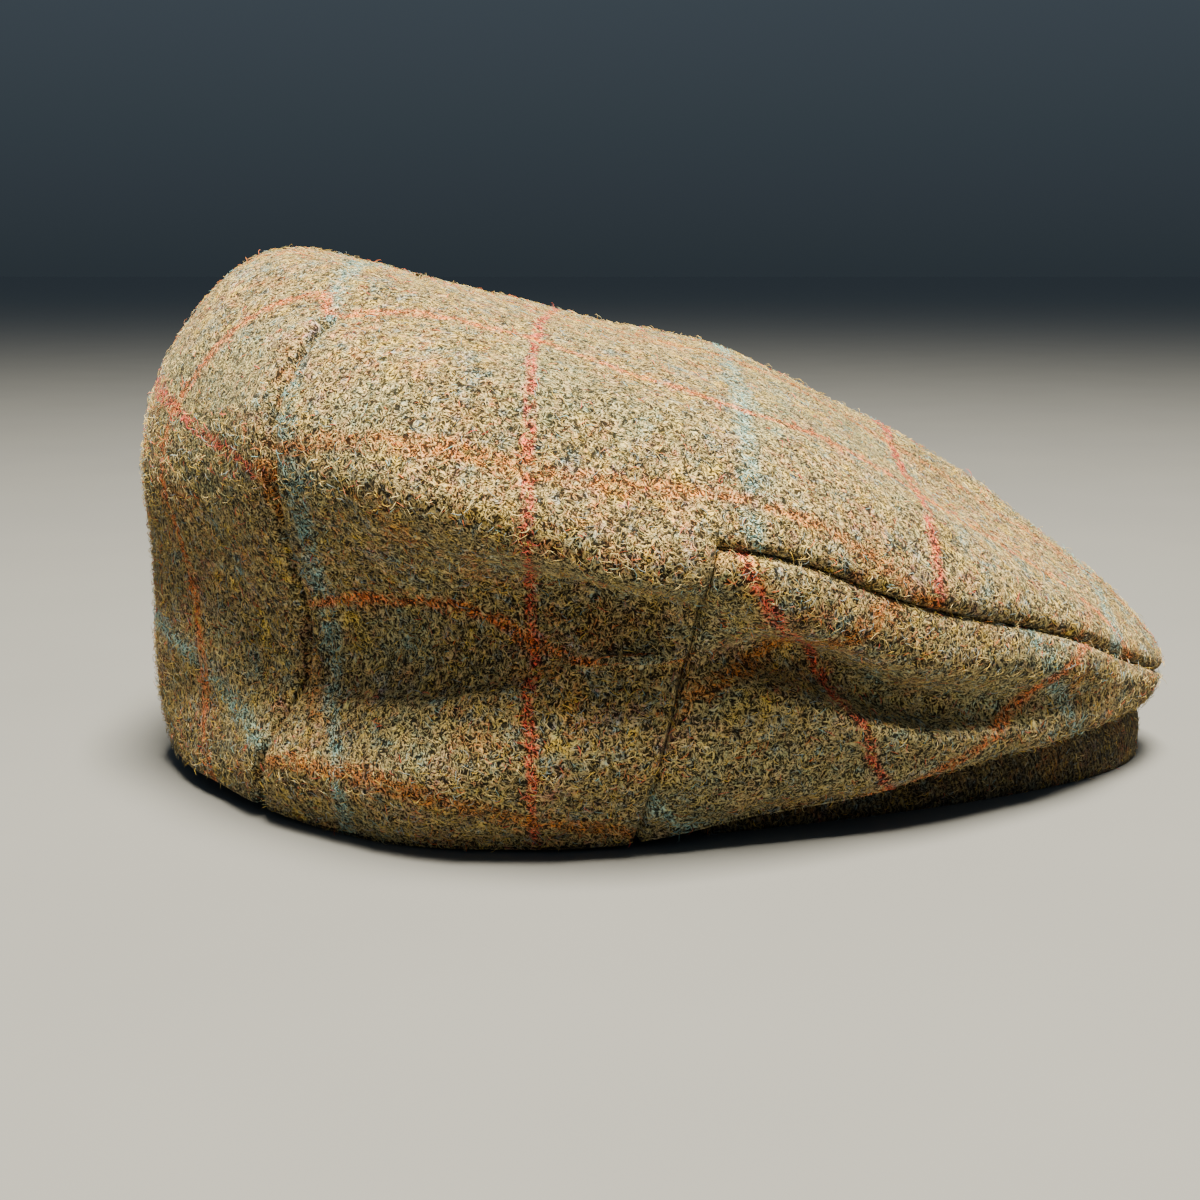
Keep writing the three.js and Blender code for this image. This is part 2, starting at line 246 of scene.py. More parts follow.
@dataclass(frozen=True)
class CapShape:
    """The smooth surface that the cloth lies on.

    Attributes:
        spine_middle: X of the middle of the line that the sections fan out from.
        spine_half: Half the length of that line.
        spine_rise: How much higher the cap stands for each step back along it.
        seam_lean: How far the seams lean back, in stations, by the time they reach the hem.
        lean_starts: The station at which that lean begins.
    """

    spine_middle: float = 7.0
    spine_half: float = 70.0
    spine_rise: float = 0.33
    seam_lean: float = 0.5
    lean_starts: float = 1.5

    def leaned(self, station: Array, level: Array) -> Array:
        """Where the grid lines lie at each level, once they have leaned back.

        Args:
            station: Their stations at the ridge.
            level: The level at each place.

        Returns:
            The stations of the sections that they cross.
        """
        rise = smooth(station, self.lean_starts, DROP_SEAM)
        fall = 1 - smooth(station, DART, LAST_STATION)
        below = np.maximum(0, 1 - level / Level.RIDGE)
        return station + self.seam_lean * below * np.minimum(rise, fall)

    def rows_at(self, station: Array) -> Array:
        """The sections' rows of numbers at any stations.

        Args:
            station: The stations.

        Returns:
            One row of numbers for each station.
        """
        before = SECTIONS[1].row(sign=-1.0)
        after = SECTIONS[-2].row(mirror=360.0, sign=-1.0)
        table = np.array([before, *[section.row() for section in SECTIONS], after])
        first = np.clip(np.floor(station).astype(int), 0, len(SECTIONS) - 2)
        t = (station - first)[..., None]
        return catmull_rom([table[first + step] for step in range(4)], t)

    def profile(self, rows: Array, level: Array) -> Array:
        """Distance out and height on the sections, on a centripetal curve.

        Args:
            rows: The rows of numbers that rows_at gives.
            level: The level wanted of each.

        Returns:
            Pairs of distance out and height.
        """
        points = [rows[..., 1 + 2 * k : 3 + 2 * k] for k in range(Level.TOP)]
        over = rows[..., -1]
        top = np.stack([np.zeros_like(over), over], -1)
        crest = points[Level.CREST]
        ahead = np.cos(np.radians(rows[..., 0]))
        along = over + self.spine_rise * crest[..., 0] * ahead
        far_height = crest[..., 1] * (1 - ahead**2) + along * ahead**2
        past = np.stack([-crest[..., 0], far_height], -1)
        path = np.stack([2 * points[0] - points[1], *points, top, past], -2)
        first = np.clip(np.floor(level).astype(int), 0, Level.TOP - 1)

        def take(step: int) -> Array:
            """The path's point that many steps after the first."""
            pick = (first + step)[..., None, None]
            return np.take_along_axis(path, np.repeat(pick, 2, -1), -2)[..., 0, :]

        def step(a: Array, b: Array) -> Array:
            """The centripetal distance from a to b."""
            return np.sqrt(np.maximum(np.linalg.norm(b - a, axis=-1), 1e-6))[..., None]

        p0, p1, p2, p3 = (take(k) for k in range(4))
        d0, d1, d2 = step(p0, p1), step(p1, p2), step(p2, p3)
        start = ((p1 - p0) / d0 - (p2 - p0) / (d0 + d1) + (p2 - p1) / d1) * d1
        end = ((p2 - p1) / d1 - (p3 - p1) / (d1 + d2) + (p3 - p2) / d2) * d1
        t = (level - first)[..., None]
        chord = p2 - p1
        square = 3 * chord - 2 * start - end
        cube = start + end - 2 * chord
        return p1 + start * t + square * t**2 + cube * t**3

    def point(self, station: Array, level: Array, side: Side) -> Array:
        """Points of the smooth cloth, before its folds.

        Args:
            station: Their stations.
            level: Their levels.
            side: The side of the cap that they are on.

        Returns:
            The points, in millimetres.
        """
        rows = self.rows_at(self.leaned(station, level))
        out = self.profile(rows, level)
        heading = np.radians(rows[..., 0])
        x = self.spine_middle + (self.spine_half + out[..., 0]) * np.cos(heading)
        y = side.value * out[..., 0] * np.sin(heading)
        return np.stack([x, y, out[..., 1]], -1)


@dataclass(frozen=True)
class Seam:
    """How two cloths roll under where they are sewn.

    Attributes:
        radius: How far from the seam the cloth begins to turn, in millimetres.
        depth: How far it has sunk at the seam.
        puff: How far it stands proud beside the seam.
        reach: How far from the seam it is proudest.
        slit: How far from the seam it stays fully sunk.
    """

    radius: float
    depth: float
    slit: float = 0.0
    puff: float = 0.0
    reach: float = 5.0

    def height(self, distance: Array) -> Array:
        """How far the cloth stands out at a distance from the seam.

        Args:
            distance: Distances from the seam, in millimetres.

        Returns:
            Heights, with a minus where the cloth is sunk.
        """
        turn = np.clip(1 - np.maximum(distance - self.slit, 0) / self.radius, 0, 1)
        roll = self.depth * (1 - np.sqrt(1 - turn**2))
        near = distance / self.reach
        return self.puff * near * np.exp(1 - near) - roll


TOP_SEAM_OVER = Seam(radius=2.6, depth=2.6, slit=0.1, puff=1.2, reach=6.0)
TOP_SEAM_UNDER = Seam(radius=2.0, depth=2.6, slit=0.35, puff=0.3, reach=9.0)
DROP_SEAM_BEHIND = Seam(radius=2.3, depth=2.2, slit=0.15, puff=0.4, reach=4.0)
DROP_SEAM_AHEAD = Seam(radius=2.3, depth=2.2, slit=0.15, puff=0.25, reach=4.0)
FRONT_SEAM = Seam(radius=1.8, depth=1.3, puff=0.2, reach=4.0)
DART_SEAM = Seam(radius=2.2, depth=3.8, slit=0.55, puff=0.8, reach=4.5)


# ------------------------------------------------------------------ the cloth and its grid


@dataclass
class Cloth:
    """The whole cap's outer cloth as one grid of four-sided cells.

    Arrays over the grid run side, station, level, with the right side first.

    Attributes:
        shape: The surface that the cloth lies on.
        station_step: The widest step between stations, away from the seams.
        level_step: The widest step between levels, away from the ridge.
        beside: The steps on either side of a seam, in stations or levels.
        seam_gap: The clear space left between two cloths that meet, in millimetres.
        swells: The breadth and the depth of the slack's swells, in millimetres.
        stations: The stations of the grid lines.
        levels: The levels of the grid lines.
        station: The station of each grid point.
        level: Its level.
        base: Its place, before the folds.
        number: Its number, which the two sides share along the middle of the cap.
        outward: The outward unit vector there.
        below_ridge: How far it lies below the ridge, along the cloth.
        behind_drop: How far it lies behind the drop seam, along the cloth.
        behind_dart: How far it lies behind the dart, along the cloth.
        behind_front: How far it lies behind the middle of the front, along the cloth.
    """

    shape: CapShape
    station_step: float = 0.052
    level_step: float = 0.056
    beside: tuple[float, ...] = (0.008, 0.018, 0.032, 0.05, 0.075, 0.11)
    seam_gap: float = 0.3
    swells: tuple[tuple[float, float], ...] = ((34.0, 1.1), (13.0, 0.5))
    stations: Array = field(init=False)
    levels: Array = field(init=False)
    station: Array = field(init=False)
    level: Array = field(init=False)
    base: Array = field(init=False)
    number: Array = field(init=False)
    outward: Array = field(init=False)
    below_ridge: Array = field(init=False)
    behind_drop: Array = field(init=False)
    behind_dart: Array = field(init=False)
    behind_front: Array = field(init=False)

    def __post_init__(self) -> None:
        """Lays out the grid and measures its distances from the seams."""
        self.stations = self.lines((0, DROP_SEAM, DART, LAST_STATION), self.station_step)
        self.levels = self.lines((0, Level.RIDGE, Level.TOP), self.level_step)
        places = np.meshgrid(self.stations, self.levels, indexing="ij")
        self.base = np.stack([self.shape.point(*places, side) for side in Side])
        self.base[:, [0, -1], :, 1] = 0
        self.base[:, :, -1, 1] = 0
        self.number = np.arange(self.base[..., 0].size).reshape(self.base.shape[:3])
        for edge in (np.s_[1, 0, :], np.s_[1, -1, :], np.s_[1, :, -1]):
            self.number[edge] = self.number[(0, *edge[1:])]
        self.station, self.level = (np.broadcast_to(each, self.number.shape) for each in places)
        self.outward = self.normals(self.base)
        down = self.arc(self.base, axis=2)
        along = self.arc(self.base, axis=1)
        ridge = self.line(self.levels, Level.RIDGE)
        self.below_ridge = down[:, :, ridge, None] - down
        self.behind_front = along
        self.behind_drop = along - along[:, [self.line(self.stations, DROP_SEAM)]]
        self.behind_dart = along - along[:, [self.line(self.stations, DART)]]

    def lines(self, seams: tuple[float, ...], widest: float) -> Array:
        """The places of the grid lines along one axis, closer together at the seams.

        Args:
            seams: The ends of the axis and the seams between them.
            widest: The widest step.

        Returns:
            The places, in rising order.
        """
        found = [seams[0]]
        for start, end in zip(seams, seams[1:]):
            low, high = start + self.beside[-1], end - self.beside[-1]
            steps = math.ceil((high - low) / widest)
            near = [start + step for step in self.beside[:-1]]
            far = [end - step for step in reversed(self.beside[:-1])]
            found += [*near, *np.linspace(low, high, steps + 1), *far, end]
        return np.array(found)

    @staticmethod
    def line(places: Array, wanted: float) -> int:
        """The number of the grid line at a place."""
        return int(np.argmin(abs(places - wanted)))

    @staticmethod
    def arc(points: Array, axis: int) -> Array:
        """Distances along the grid lines.

        Args:
            points: The cloth's points over the grid.
            axis: The axis that the lines run along.

        Returns:
            Distances over the grid from the first point of each line, in millimetres.
        """
        steps = np.linalg.norm(np.diff(points, axis=axis), axis=-1)
        pad = [(0, 0)] * 3
        pad[axis] = (1, 0)
        return np.pad(np.cumsum(steps, axis=axis), pad)

    def corners(self, values: Array) -> Array:
        """The values at the four corners of every cell, in order round it.

        Args:
            values: Values over the grid.

        Returns:
            Values over the cells, with the corner as the fourth axis. The order is
            anticlockwise from outside on the right, and is turned round on the left.
        """
        ring = [values[:, :-1, :-1], values[:, :-1, 1:], values[:, 1:, 1:], values[:, 1:, :-1]]
        cells = np.stack(ring, 3)
        cells[1] = cells[1][:, :, ::-1]
        return cells

    def middle(self, values: Array) -> Array:
        """The mean of the values at the corners of every cell."""
        return self.corners(values).mean(-1)

    def crown_cells(self) -> Array:
        """Which of the cells belong to the crown. The front panels have the others."""
        return (self.middle(self.level) > Level.RIDGE) | (self.middle(self.station) > DROP_SEAM)

    def by_number(self, values: Array) -> Array:
        """Values over the grid, put in the order of the points' numbers.

        Args:
            values: Values over the grid.

        Returns:
            The same values, with the right side's where both sides share a point.
        """
        placed = np.zeros((self.number.size, *values.shape[3:]))
        placed[self.number[::-1].ravel()] = values[::-1].reshape(-1, *values.shape[3:])
        return placed

    def normals(self, points: Array) -> Array:
        """Unit normals of the cloth, smooth across the middle of the cap.

        Args:
            points: The cloth's points over the grid.

        Returns:
            Outward unit vectors over the grid.
        """
        ring = self.corners(points)
        cross = np.cross(ring[..., 2, :] - ring[..., 0, :], ring[..., 3, :] - ring[..., 1, :])
        total = np.zeros((self.number.size, 3))
        numbers = self.corners(self.number)
        for corner in range(4):
            np.add.at(total, numbers[..., corner].ravel(), cross.reshape(-1, 3))
        return unit(total)[self.number]

    def folds(self) -> Array:
        """How far the soft folds and the cloth's slack move it out.

        Returns:
            Heights over the grid, in millimetres.
        """
        height = np.zeros(self.number.shape)
        for owner, folds in FOLDS.items():
            for fold, (number, side) in product(folds, enumerate(Side)):
                station, level = self.station[number], self.level[number]
                ways = [station] if side is owner else [-station, 2 * LAST_STATION - station]
                for way in ways:
                    height[number] += fold.height(way, level)
        for size, depth in self.swells:
            height = height + self.slack(size, depth)
        return height

    def slack(self, size: float, depth: float) -> Array:
        """Gentle unevenness of soft cloth.

        Args:
            size: How broad its swells are, in millimetres.
            depth: How far they stand out at most.

        Returns:
            Heights over the grid, in millimetres.
        """
        places = (self.base / size).reshape(-1, 3)
        swells = np.array([noise.noise(Vector(place)) for place in places])
        return depth * swells.reshape(self.number.shape)


@dataclass(frozen=True)
class Grain:
    """The first coordinate runs along the cap, which the blue and red lines cross. The second
    runs out from the middle, which the brown and rust lines follow.

    Attributes:
        at_x: Places along the cap, in X.
        along: Where each of those places lies along the flat cloth.
        drift_x: Places along the cap where the check's sideways drift is given.
        drifts: Distances out from the middle, and the drift at each of them.
        dart_levels: Levels at which the cloth is drawn along beside the dart.
        dart_pull: How far it is drawn there.
        dart_reach: The stations between which that pull sets in.
        back_level: The level from which the check turns down the back.
        back_fall: How far the check moves along for each millimetre down the back.
        back_dip: How far it is moved along in the middle of the back.
        back_curve: How much less, as far out as back_half.
        back_half: A distance out from the middle.
        back_fades: The levels between which that bend fades out.
        beside_dart: How many stations behind the dart the check takes to widen.
        above_dart: The level at which that widening begins.
        wider_low: How much wider still it is near the hem.
        low_levels: The levels between which that fades out.
        panel_at: The check's coordinates at the top of the drop seam.
        panel_scale: How far it moves for each millimetre on the front panel.
        panel_slant: How far the panel's check leans forward for each millimetre down.
        panel_corner: Where those coordinates lie, ahead of the seam and diagonally down.
    """

    at_x: tuple[float, ...] = (-79, -31, 15, 57, 110)
    along: tuple[float, ...] = (-79, -31.5, 16, 63.5, 111)
    drift_x: tuple[float, ...] = (-90, -75, -58, -33, -12, 15, 30, 52, 75, 110)
    drifts: tuple[tuple[float, tuple[float, ...]], ...] = (
        (63, (3, 4, 5, 6.5, -2, -4.5, 1.5, 8, 17, 20)),
        (105, (14, 10.5, 5, 1, 2.5, 11, 13, 14, 16, 20)),
        (180, (23, 16, 10, 6, 7, 13, 15, 16, 18, 22)),
    )
    dart_levels: tuple[float, ...] = (0, 1, 2, 2.5, 3, 4, 4.4, 5, 6)
    dart_pull: tuple[float, ...] = (-8, -6, -3, 2, 4.5, 2, -1.5, -4, -4)
    dart_reach: tuple[float, float] = (5.6, 6.8)
    back_level: float = 4.6
    back_fall: float = 0.8
    back_dip: float = 13
    back_curve: float = 14
    back_half: float = 58
    back_fades: tuple[float, float] = (3.2, 4.6)
    beside_dart: float = 0.35
    above_dart: float = 4.2
    wider: float = 0.20
    wider_low: float = 0.15
    low_levels: tuple[float, float] = (3.0, 3.9)
    panel_at: tuple[float, float] = (-31.5, 107)
    panel_scale: tuple[float, float] = (0.58, 0.68)
    panel_slant: float = 1.18
    panel_corner: tuple[float, float] = (4, 45)

    def ahead_of_dart(self, cloth: Cloth) -> Array:
        """The check's coordinates on the crown, ahead of the darts and over the top.

        Args:
            cloth: The cloth.

        Returns:
            Pairs of flat coordinates over the grid, in millimetres.
        """
        x = cloth.base[..., 0]
        along = np.interp(x, self.at_x, self.along)
        along += np.minimum(x - self.at_x[0], 0) + np.maximum(x - self.at_x[-1], 0)
        pull = np.interp(cloth.level, self.dart_levels, self.dart_pull)
        along += pull * smooth(cloth.station, *self.dart_reach)
        sideways = unit(np.cross(cloth.outward, (1.0, 0.0, 0.0)))
        steps = np.diff(cloth.base, axis=2)
        middle = unit(sideways[:, :, 1:] + sideways[:, :, :-1])
        lateral = abs((steps * middle).sum(-1))
        out = np.pad(np.cumsum(lateral[:, :, ::-1], axis=2)[:, :, ::-1], ((0, 0), (0, 0), (0, 1)))
        (start, first), *further = self.drifts
        drift = near = np.interp(x, self.drift_x, first)
        last = start
        for reach, values in further:
            far = np.interp(x, self.drift_x, values)
            drift = drift + (far - near) * np.clip((out - last) / (reach - last), 0, 1)
            near, last = far, reach
        out = out + drift * smooth(out, 0, start)
        return np.stack([along, self.signed(out)], -1)

    def behind_dart(self, cloth: Cloth) -> Array:
        """The check's coordinates on the back of the crown, between the darts.

        Args:
            cloth: The cloth.

        Returns:
            Pairs of flat coordinates over the grid, in millimetres.
        """
        start = cloth.line(cloth.levels, self.back_level)
        check = self.ahead_of_dart(cloth)
        from_back = cloth.arc(cloth.base[:, ::-1], axis=1)[:, ::-1]
        spread = from_back / np.maximum(from_back[:, :, [start]], 1.0)
        down = cloth.below_ridge - cloth.below_ridge[:, :, [start]]
        lower = cloth.level < cloth.levels[start]
        sideways = cloth.base[..., 1] / self.back_half
        round_back = self.back_dip - self.back_curve * sideways**2
        round_back *= 1 - smooth(cloth.level, *self.back_fades)
        falling = check[:, :, [start], 0] - self.back_fall * down
        along = np.where(lower, falling, check[..., 0]) + round_back
        out = np.where(lower, check[:, :, [start], 1] * spread, check[..., 1])
        beside = smooth(cloth.station, DART, DART + self.beside_dart)
        away = np.maximum(beside, 1 - smooth(cloth.level, self.above_dart, self.back_level))
        low = 1 - smooth(cloth.level, *self.low_levels)
        out = out * (1 + away * (self.wider + self.wider_low * low))
        return np.stack([along, out], -1)

    def on_panel(self, cloth: Cloth) -> Array:
        """The check's coordinates on the front panels, which are cut on the slant.

        Args:
            cloth: The cloth.

        Returns:
            Pairs of flat coordinates over the grid, in millimetres.
        """
        ridge = cloth.line(cloth.levels, Level.RIDGE)
        forward = np.broadcast_to(-cloth.behind_drop[:, :, [ridge]], cloth.below_ridge.shape)
        down = cloth.below_ridge
        ahead, diagonal = self.panel_corner
        along = self.panel_at[0] + self.panel_scale[0] * (forward - self.panel_slant * down - ahead)
        out = self.panel_at[1] + self.panel_scale[1] * (forward + down - diagonal)
        return np.stack([along, self.signed(out)], -1)

    @staticmethod
    def signed(out: Array) -> Array:
        """The distances out, made negative on the left."""
        return out * np.array([1.0, -1.0])[:, None, None]


# ------------------------------------------------------------------ meshes


def add_to_scene(name: str, data: bpy.types.ID) -> bpy.types.Object:
    """Puts a mesh, a lamp or a camera into the scene.

    Args:
        name: The object's name.
        data: Its data.

    Returns:
        The new object.
    """
    added = bpy.data.objects.new(name, data)
    bpy.context.scene.collection.objects.link(added)
    return added


def add_mesh(name: str, points: Array, faces: list, map_name: str, spots: Array,
             material: bpy.types.Material) -> bpy.types.Object:
    """Puts a smooth mesh into the scene.

    Args:
        name: Its name.
        points: Its vertices, in millimetres.
        faces: The vertex numbers of each face.
        map_name: The name of its UV map.
        spots: The map's coordinates, corner by corner.
        material: Its finish.

    Returns:
        The new object.
    """
    data = bpy.data.meshes.new(name)
    data.from_pydata((points * MM).tolist(), [], faces)
    data.uv_layers.new(name=map_name).data.foreach_set("uv", spots)
    data.polygons.foreach_set("use_smooth", np.ones(len(data.polygons), bool))
    data.materials.append(material)
    return add_to_scene(name, data)


@dataclass
class Surface:
    """Four-sided faces with their place on the flat cloth, before they become a mesh.

    Attributes:
        points: The vertices, in millimetres.
        faces: The vertex numbers of each face, anticlockwise from outside on outer ones.
        flat: The flat coordinates of each face's corners, in millimetres.
        outer: How many of the faces, from the first, are on the outside of the cloth.
    """

    points: Array
    faces: Array
    flat: Array
    outer: int

    def facing(self) -> Array:
        """The outward vectors of its outer faces, each as long as twice the face's area."""
        ring = self.points[self.faces[: self.outer]]
        return np.cross(ring[:, 2] - ring[:, 0], ring[:, 3] - ring[:, 1])

    def overhung(self, least: float = 0.3) -> Array:
        """Which of its outer faces stand upright or look down."""
        return unit(self.facing())[:, 2] < least

    def dress(self, name: str, slot: str, node: str, material: bpy.types.Material) -> None:
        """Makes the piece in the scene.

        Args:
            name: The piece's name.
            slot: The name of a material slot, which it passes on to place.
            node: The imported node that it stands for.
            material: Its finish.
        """
        spots = (self.flat.reshape(-1, 2) / 100).ravel()
        piece = add_mesh(name, self.points, self.faces.tolist(), CLOTH_MAP, spots, material)
        piece.data.validate()
        place(piece, slot, node)


def place(piece: bpy.types.Object, slot: str, node: str | None = None) -> None:
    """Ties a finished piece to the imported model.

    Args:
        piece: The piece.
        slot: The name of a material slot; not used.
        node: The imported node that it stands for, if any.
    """
    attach(piece, "root")
    if node:
        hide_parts(node)
    LOG.info("%s: %d faces", piece.name, len(piece.data.polygons))


@dataclass
class ClothWall:
    """A closed wall of cloth over some of the grid's cells.

    Attributes:
        cloth: The cloth that it is cut from.
        thickness: How thick the cloth and its interlining are, in millimetres.
        turned: How much thicker it is where the hem is turned up inside.
        turned_to: The level that the turned hem reaches.
        turned_over: How many levels the step in thickness takes.
        raised_to: The level up to which the cloth is lifted above the fold of the hem.
        round_steps: How many faces round the fold of the hem.
    """

    cloth: Cloth
    thickness: float = 2.0
    turned: float = 0.9
    turned_to: float = 0.62
    turned_over: float = 0.06
    raised_to: float = 0.45
    round_steps: int = 4

    def build(self, cells: Array, height: Array, flat: Array) -> Surface:
        """Cuts out the cells and closes them into a wall.

        Args:
            cells: Which of the grid's cells it takes.
            height: How far the cloth stands out over the grid, in millimetres.
            flat: The flat coordinates of every cell's corners.

        Returns:
            The closed surface, its outside first.
        """
        cloth = self.cloth
        grid = cloth.base + cloth.outward * height[..., None]
        points, out, level = (cloth.by_number(values)
                              for values in (grid, cloth.normals(grid), cloth.level))
        single = smooth(level, self.turned_to - self.turned_over, self.turned_to)
        thick = self.thickness + self.turned * (1 - single)
        faces, flat = cloth.corners(cloth.number)[cells], flat[cells]
        edges = self.open_edges(faces)
        points = self.step_back(points, faces, edges[~self.on_hem(edges, level)])
        points[:, 2] += 0.5 * thick * (1 - smooth(level, 0, self.raised_to))
        used, faces = np.unique(faces, return_inverse=True)
        edges = np.searchsorted(used, edges)
        outer = points[used]
        inner = outer - (out * thick[:, None])[used]
        return self.closed(outer, inner, faces.reshape(-1, 4), flat, edges,
                           self.on_hem(edges, level[used]))

    def closed(self, outer: Array, inner: Array, faces: Array, flat: Array, edges: Array,
               hem: Array) -> Surface:
        """Joins the outside and the inside of the wall round its edges.

        The strips that join them run clockwise, seen from outside.

        Args:
            outer: The outer points.
            inner: The inner points.
            faces: The outer faces.
            flat: The flat coordinates of their corners.
            edges: The open edges of the outside.
            hem: Which of them are on the hem.

        Returns:
            The closed surface, its outside first.
        """
        count = len(outer)
        outside = np.arange(count)
        rings, ring_points = self.hem_rings(np.unique(edges[hem]), outer, inner)
        strips = [(edges[~hem], outside, outside + count)]
        strips += [(edges[hem], *pair) for pair in zip(rings, rings[1:])]
        where = np.zeros((count, 2))
        where[faces.ravel()] = flat.reshape(-1, 2)
        made = [(faces, flat), (faces[:, ::-1] + count, flat[:, ::-1])]
        for run, upper, lower in strips:
            a, b = run.T
            made.append((np.stack([upper[b], lower[b], lower[a], upper[a]], 1),
                         np.stack([where[b], where[b], where[a], where[a]], 1)))
        all_faces, all_flat = (np.concatenate(parts) for parts in zip(*made))
        return Surface(np.concatenate([outer, inner, ring_points]), all_faces, all_flat,
                       len(faces))

    @staticmethod
    def open_edges(faces: Array) -> Array:
        """The edges that only one of the faces has.

        Args:
            faces: The faces.

        Returns:
            Pairs of vertex numbers, in the direction that the face has them.
        """
        ways = np.stack([faces, np.roll(faces, -1, axis=1)], -1).reshape(-1, 2)
        known = {tuple(way) for way in ways.tolist()}
        return np.array([way for way in known if (way[1], way[0]) not in known])

    @staticmethod
    def on_hem(edges: Array, level: Array) -> Array:
        """Which of the edges have both ends on the hem, by the level of each point."""
        return (level[edges] < 1e-6).all(1)

    def step_back(self, points: Array, faces: Array, seam: Array) -> Array:
        """Moves a cut edge back from its seam, so that the two cloths stay apart.

        Args:
            points: The outer points.
            faces: The faces of the piece.
            seam: Its open edges that are on a seam.

        Returns:
            The points, with those on a seam moved.
        """
        on_seam = np.unique(seam)
        middle = points[faces].mean(1)
        total = np.zeros_like(points)
        count = np.zeros(len(points))
        for corner in range(4):
            np.add.at(total, faces[:, corner], middle)
            np.add.at(count, faces[:, corner], 1)
        inward = total[on_seam] / count[on_seam, None] - points[on_seam]
        run = np.zeros_like(points)
        for end in range(2):
            np.add.at(run, seam[:, end], points[seam[:, 1]] - points[seam[:, 0]])
        way = unit(run[on_seam])
        inward -= way * (inward * way).sum(1, keepdims=True)
        moved = points.copy()
        moved[on_seam] += unit(inward) * self.cloth.seam_gap / 2
        return moved

    def hem_rings(self, hem: Array, outer: Array, inner: Array) -> tuple[list[Array], Array]:
        """Rounds the hem's fold.

        Args:
            hem: The numbers of the points on the hem.
            outer: The outer points.
            inner: The inner points.

        Returns:
            For each ring, the number of each outer point's companion on it, and the
            points of the new rings.
        """
        count = len(outer)
        rings = [np.arange(count)]
        made = []
        middle, half = (outer + inner)[hem] / 2, (outer - inner)[hem] / 2
        reach = np.linalg.norm(half, axis=1, keepdims=True)
        for step in range(1, self.round_steps):
            angle = math.pi * step / self.round_steps
            drop = reach * math.sin(angle) * (0.0, 0.0, 1.0)
            numbers = np.zeros(count, int)
            numbers[hem] = 2 * count + len(hem) * len(made) + np.arange(len(hem))
            rings.append(numbers)
            made.append(middle + half * math.cos(angle) - drop)
        rings.append(np.arange(count) + count)
        return rings, np.concatenate(made)


@dataclass
class Crown:
    """The top, both sides and the back in one cloth, pressed in along two rear darts.

    Attributes:
        cloth: The cloth that it is cut from.
        finish: Its finish.
        dart_end: The level of the darts' upper ends.
        dart_fade: How many levels they take to run out.
        dart_tip: How much of their ends is too shallow to part the nap, in levels.
        dart_depths: How deep they are at the hem and on the back, as a share.
        dart_deepens: The levels between which they deepen.
        corner_reach: How far the top seam's end runs into the crown, in millimetres.
    """

    cloth: Cloth
    finish: "TweedFinish"
    dart_end: float = 4.52
    dart_fade: float = 0.30
    dart_tip: float = 0.05
    dart_depths: tuple[float, float] = (0.5, 1.5)
    dart_deepens: tuple[float, float] = (2.6, 3.2)
    corner_reach: float = 14.0

    def height(self) -> Array:
        """How far the crown's cloth stands out.

        Returns:
            Heights over the grid, in millimetres.
        """
        cloth = self.cloth
        over, drop = TOP_SEAM_OVER, DROP_SEAM_BEHIND
        above = np.maximum(-cloth.below_ridge, 0)
        behind = np.maximum(cloth.behind_drop, 0)
        ahead = cloth.station <= DROP_SEAM + 1e-6
        past_end = (cloth.level >= Level.RIDGE - 1e-6) & ~ahead
        corner = np.hypot(above, behind)
        seam = np.where(ahead, over.height(above), drop.height(behind))
        share = np.clip(above / np.maximum(corner, 1e-6), 0, 1)
        blend = over.height(corner) * share + drop.height(corner) * (1 - share)
        seam = np.where(past_end, blend * np.exp(-corner / self.corner_reach), seam)
        low, high = self.dart_depths
        deep = low + (high - low) * smooth(cloth.level, *self.dart_deepens)
        fade = 1 - smooth(cloth.level, self.dart_end - self.dart_fade, self.dart_end)
        return cloth.folds() + seam + DART_SEAM.height(abs(cloth.behind_dart)) * fade * deep

    def open_cells(self, clear: float) -> Array:
        """Which of the crown's cells lie clear of its seams and darts.

        Args:
            clear: The distance that they keep, in millimetres.

        Returns:
            True where one does, in the order of the crown's faces.
        """
        cloth = self.cloth
        dart = abs(cloth.middle(cloth.behind_dart)) < clear
        dart &= cloth.middle(cloth.level) < self.dart_end - self.dart_tip
        above, behind = -cloth.middle(cloth.below_ridge), cloth.middle(cloth.behind_drop)
        top = (abs(above) < clear) & (behind < clear)
        drop = (abs(behind) < clear) & (above < clear)
        return ~(dart | top | drop)[cloth.crown_cells()]

    def build(self) -> Surface:
        """Makes the crown.

        Returns:
            Its surface.
        """
        cloth, grain = self.cloth, Grain()
        behind = (cloth.middle(cloth.station) > DART)[..., None, None]
        back, ahead = (cloth.corners(way(cloth)) for way in (grain.behind_dart, grain.ahead_of_dart))
        flat = np.where(behind, back, ahead)
        surface = ClothWall(cloth).build(cloth.crown_cells(), self.height(), flat)
        surface.dress("crown_cloth", "tweed", "crown", self.finish.material())
        return surface


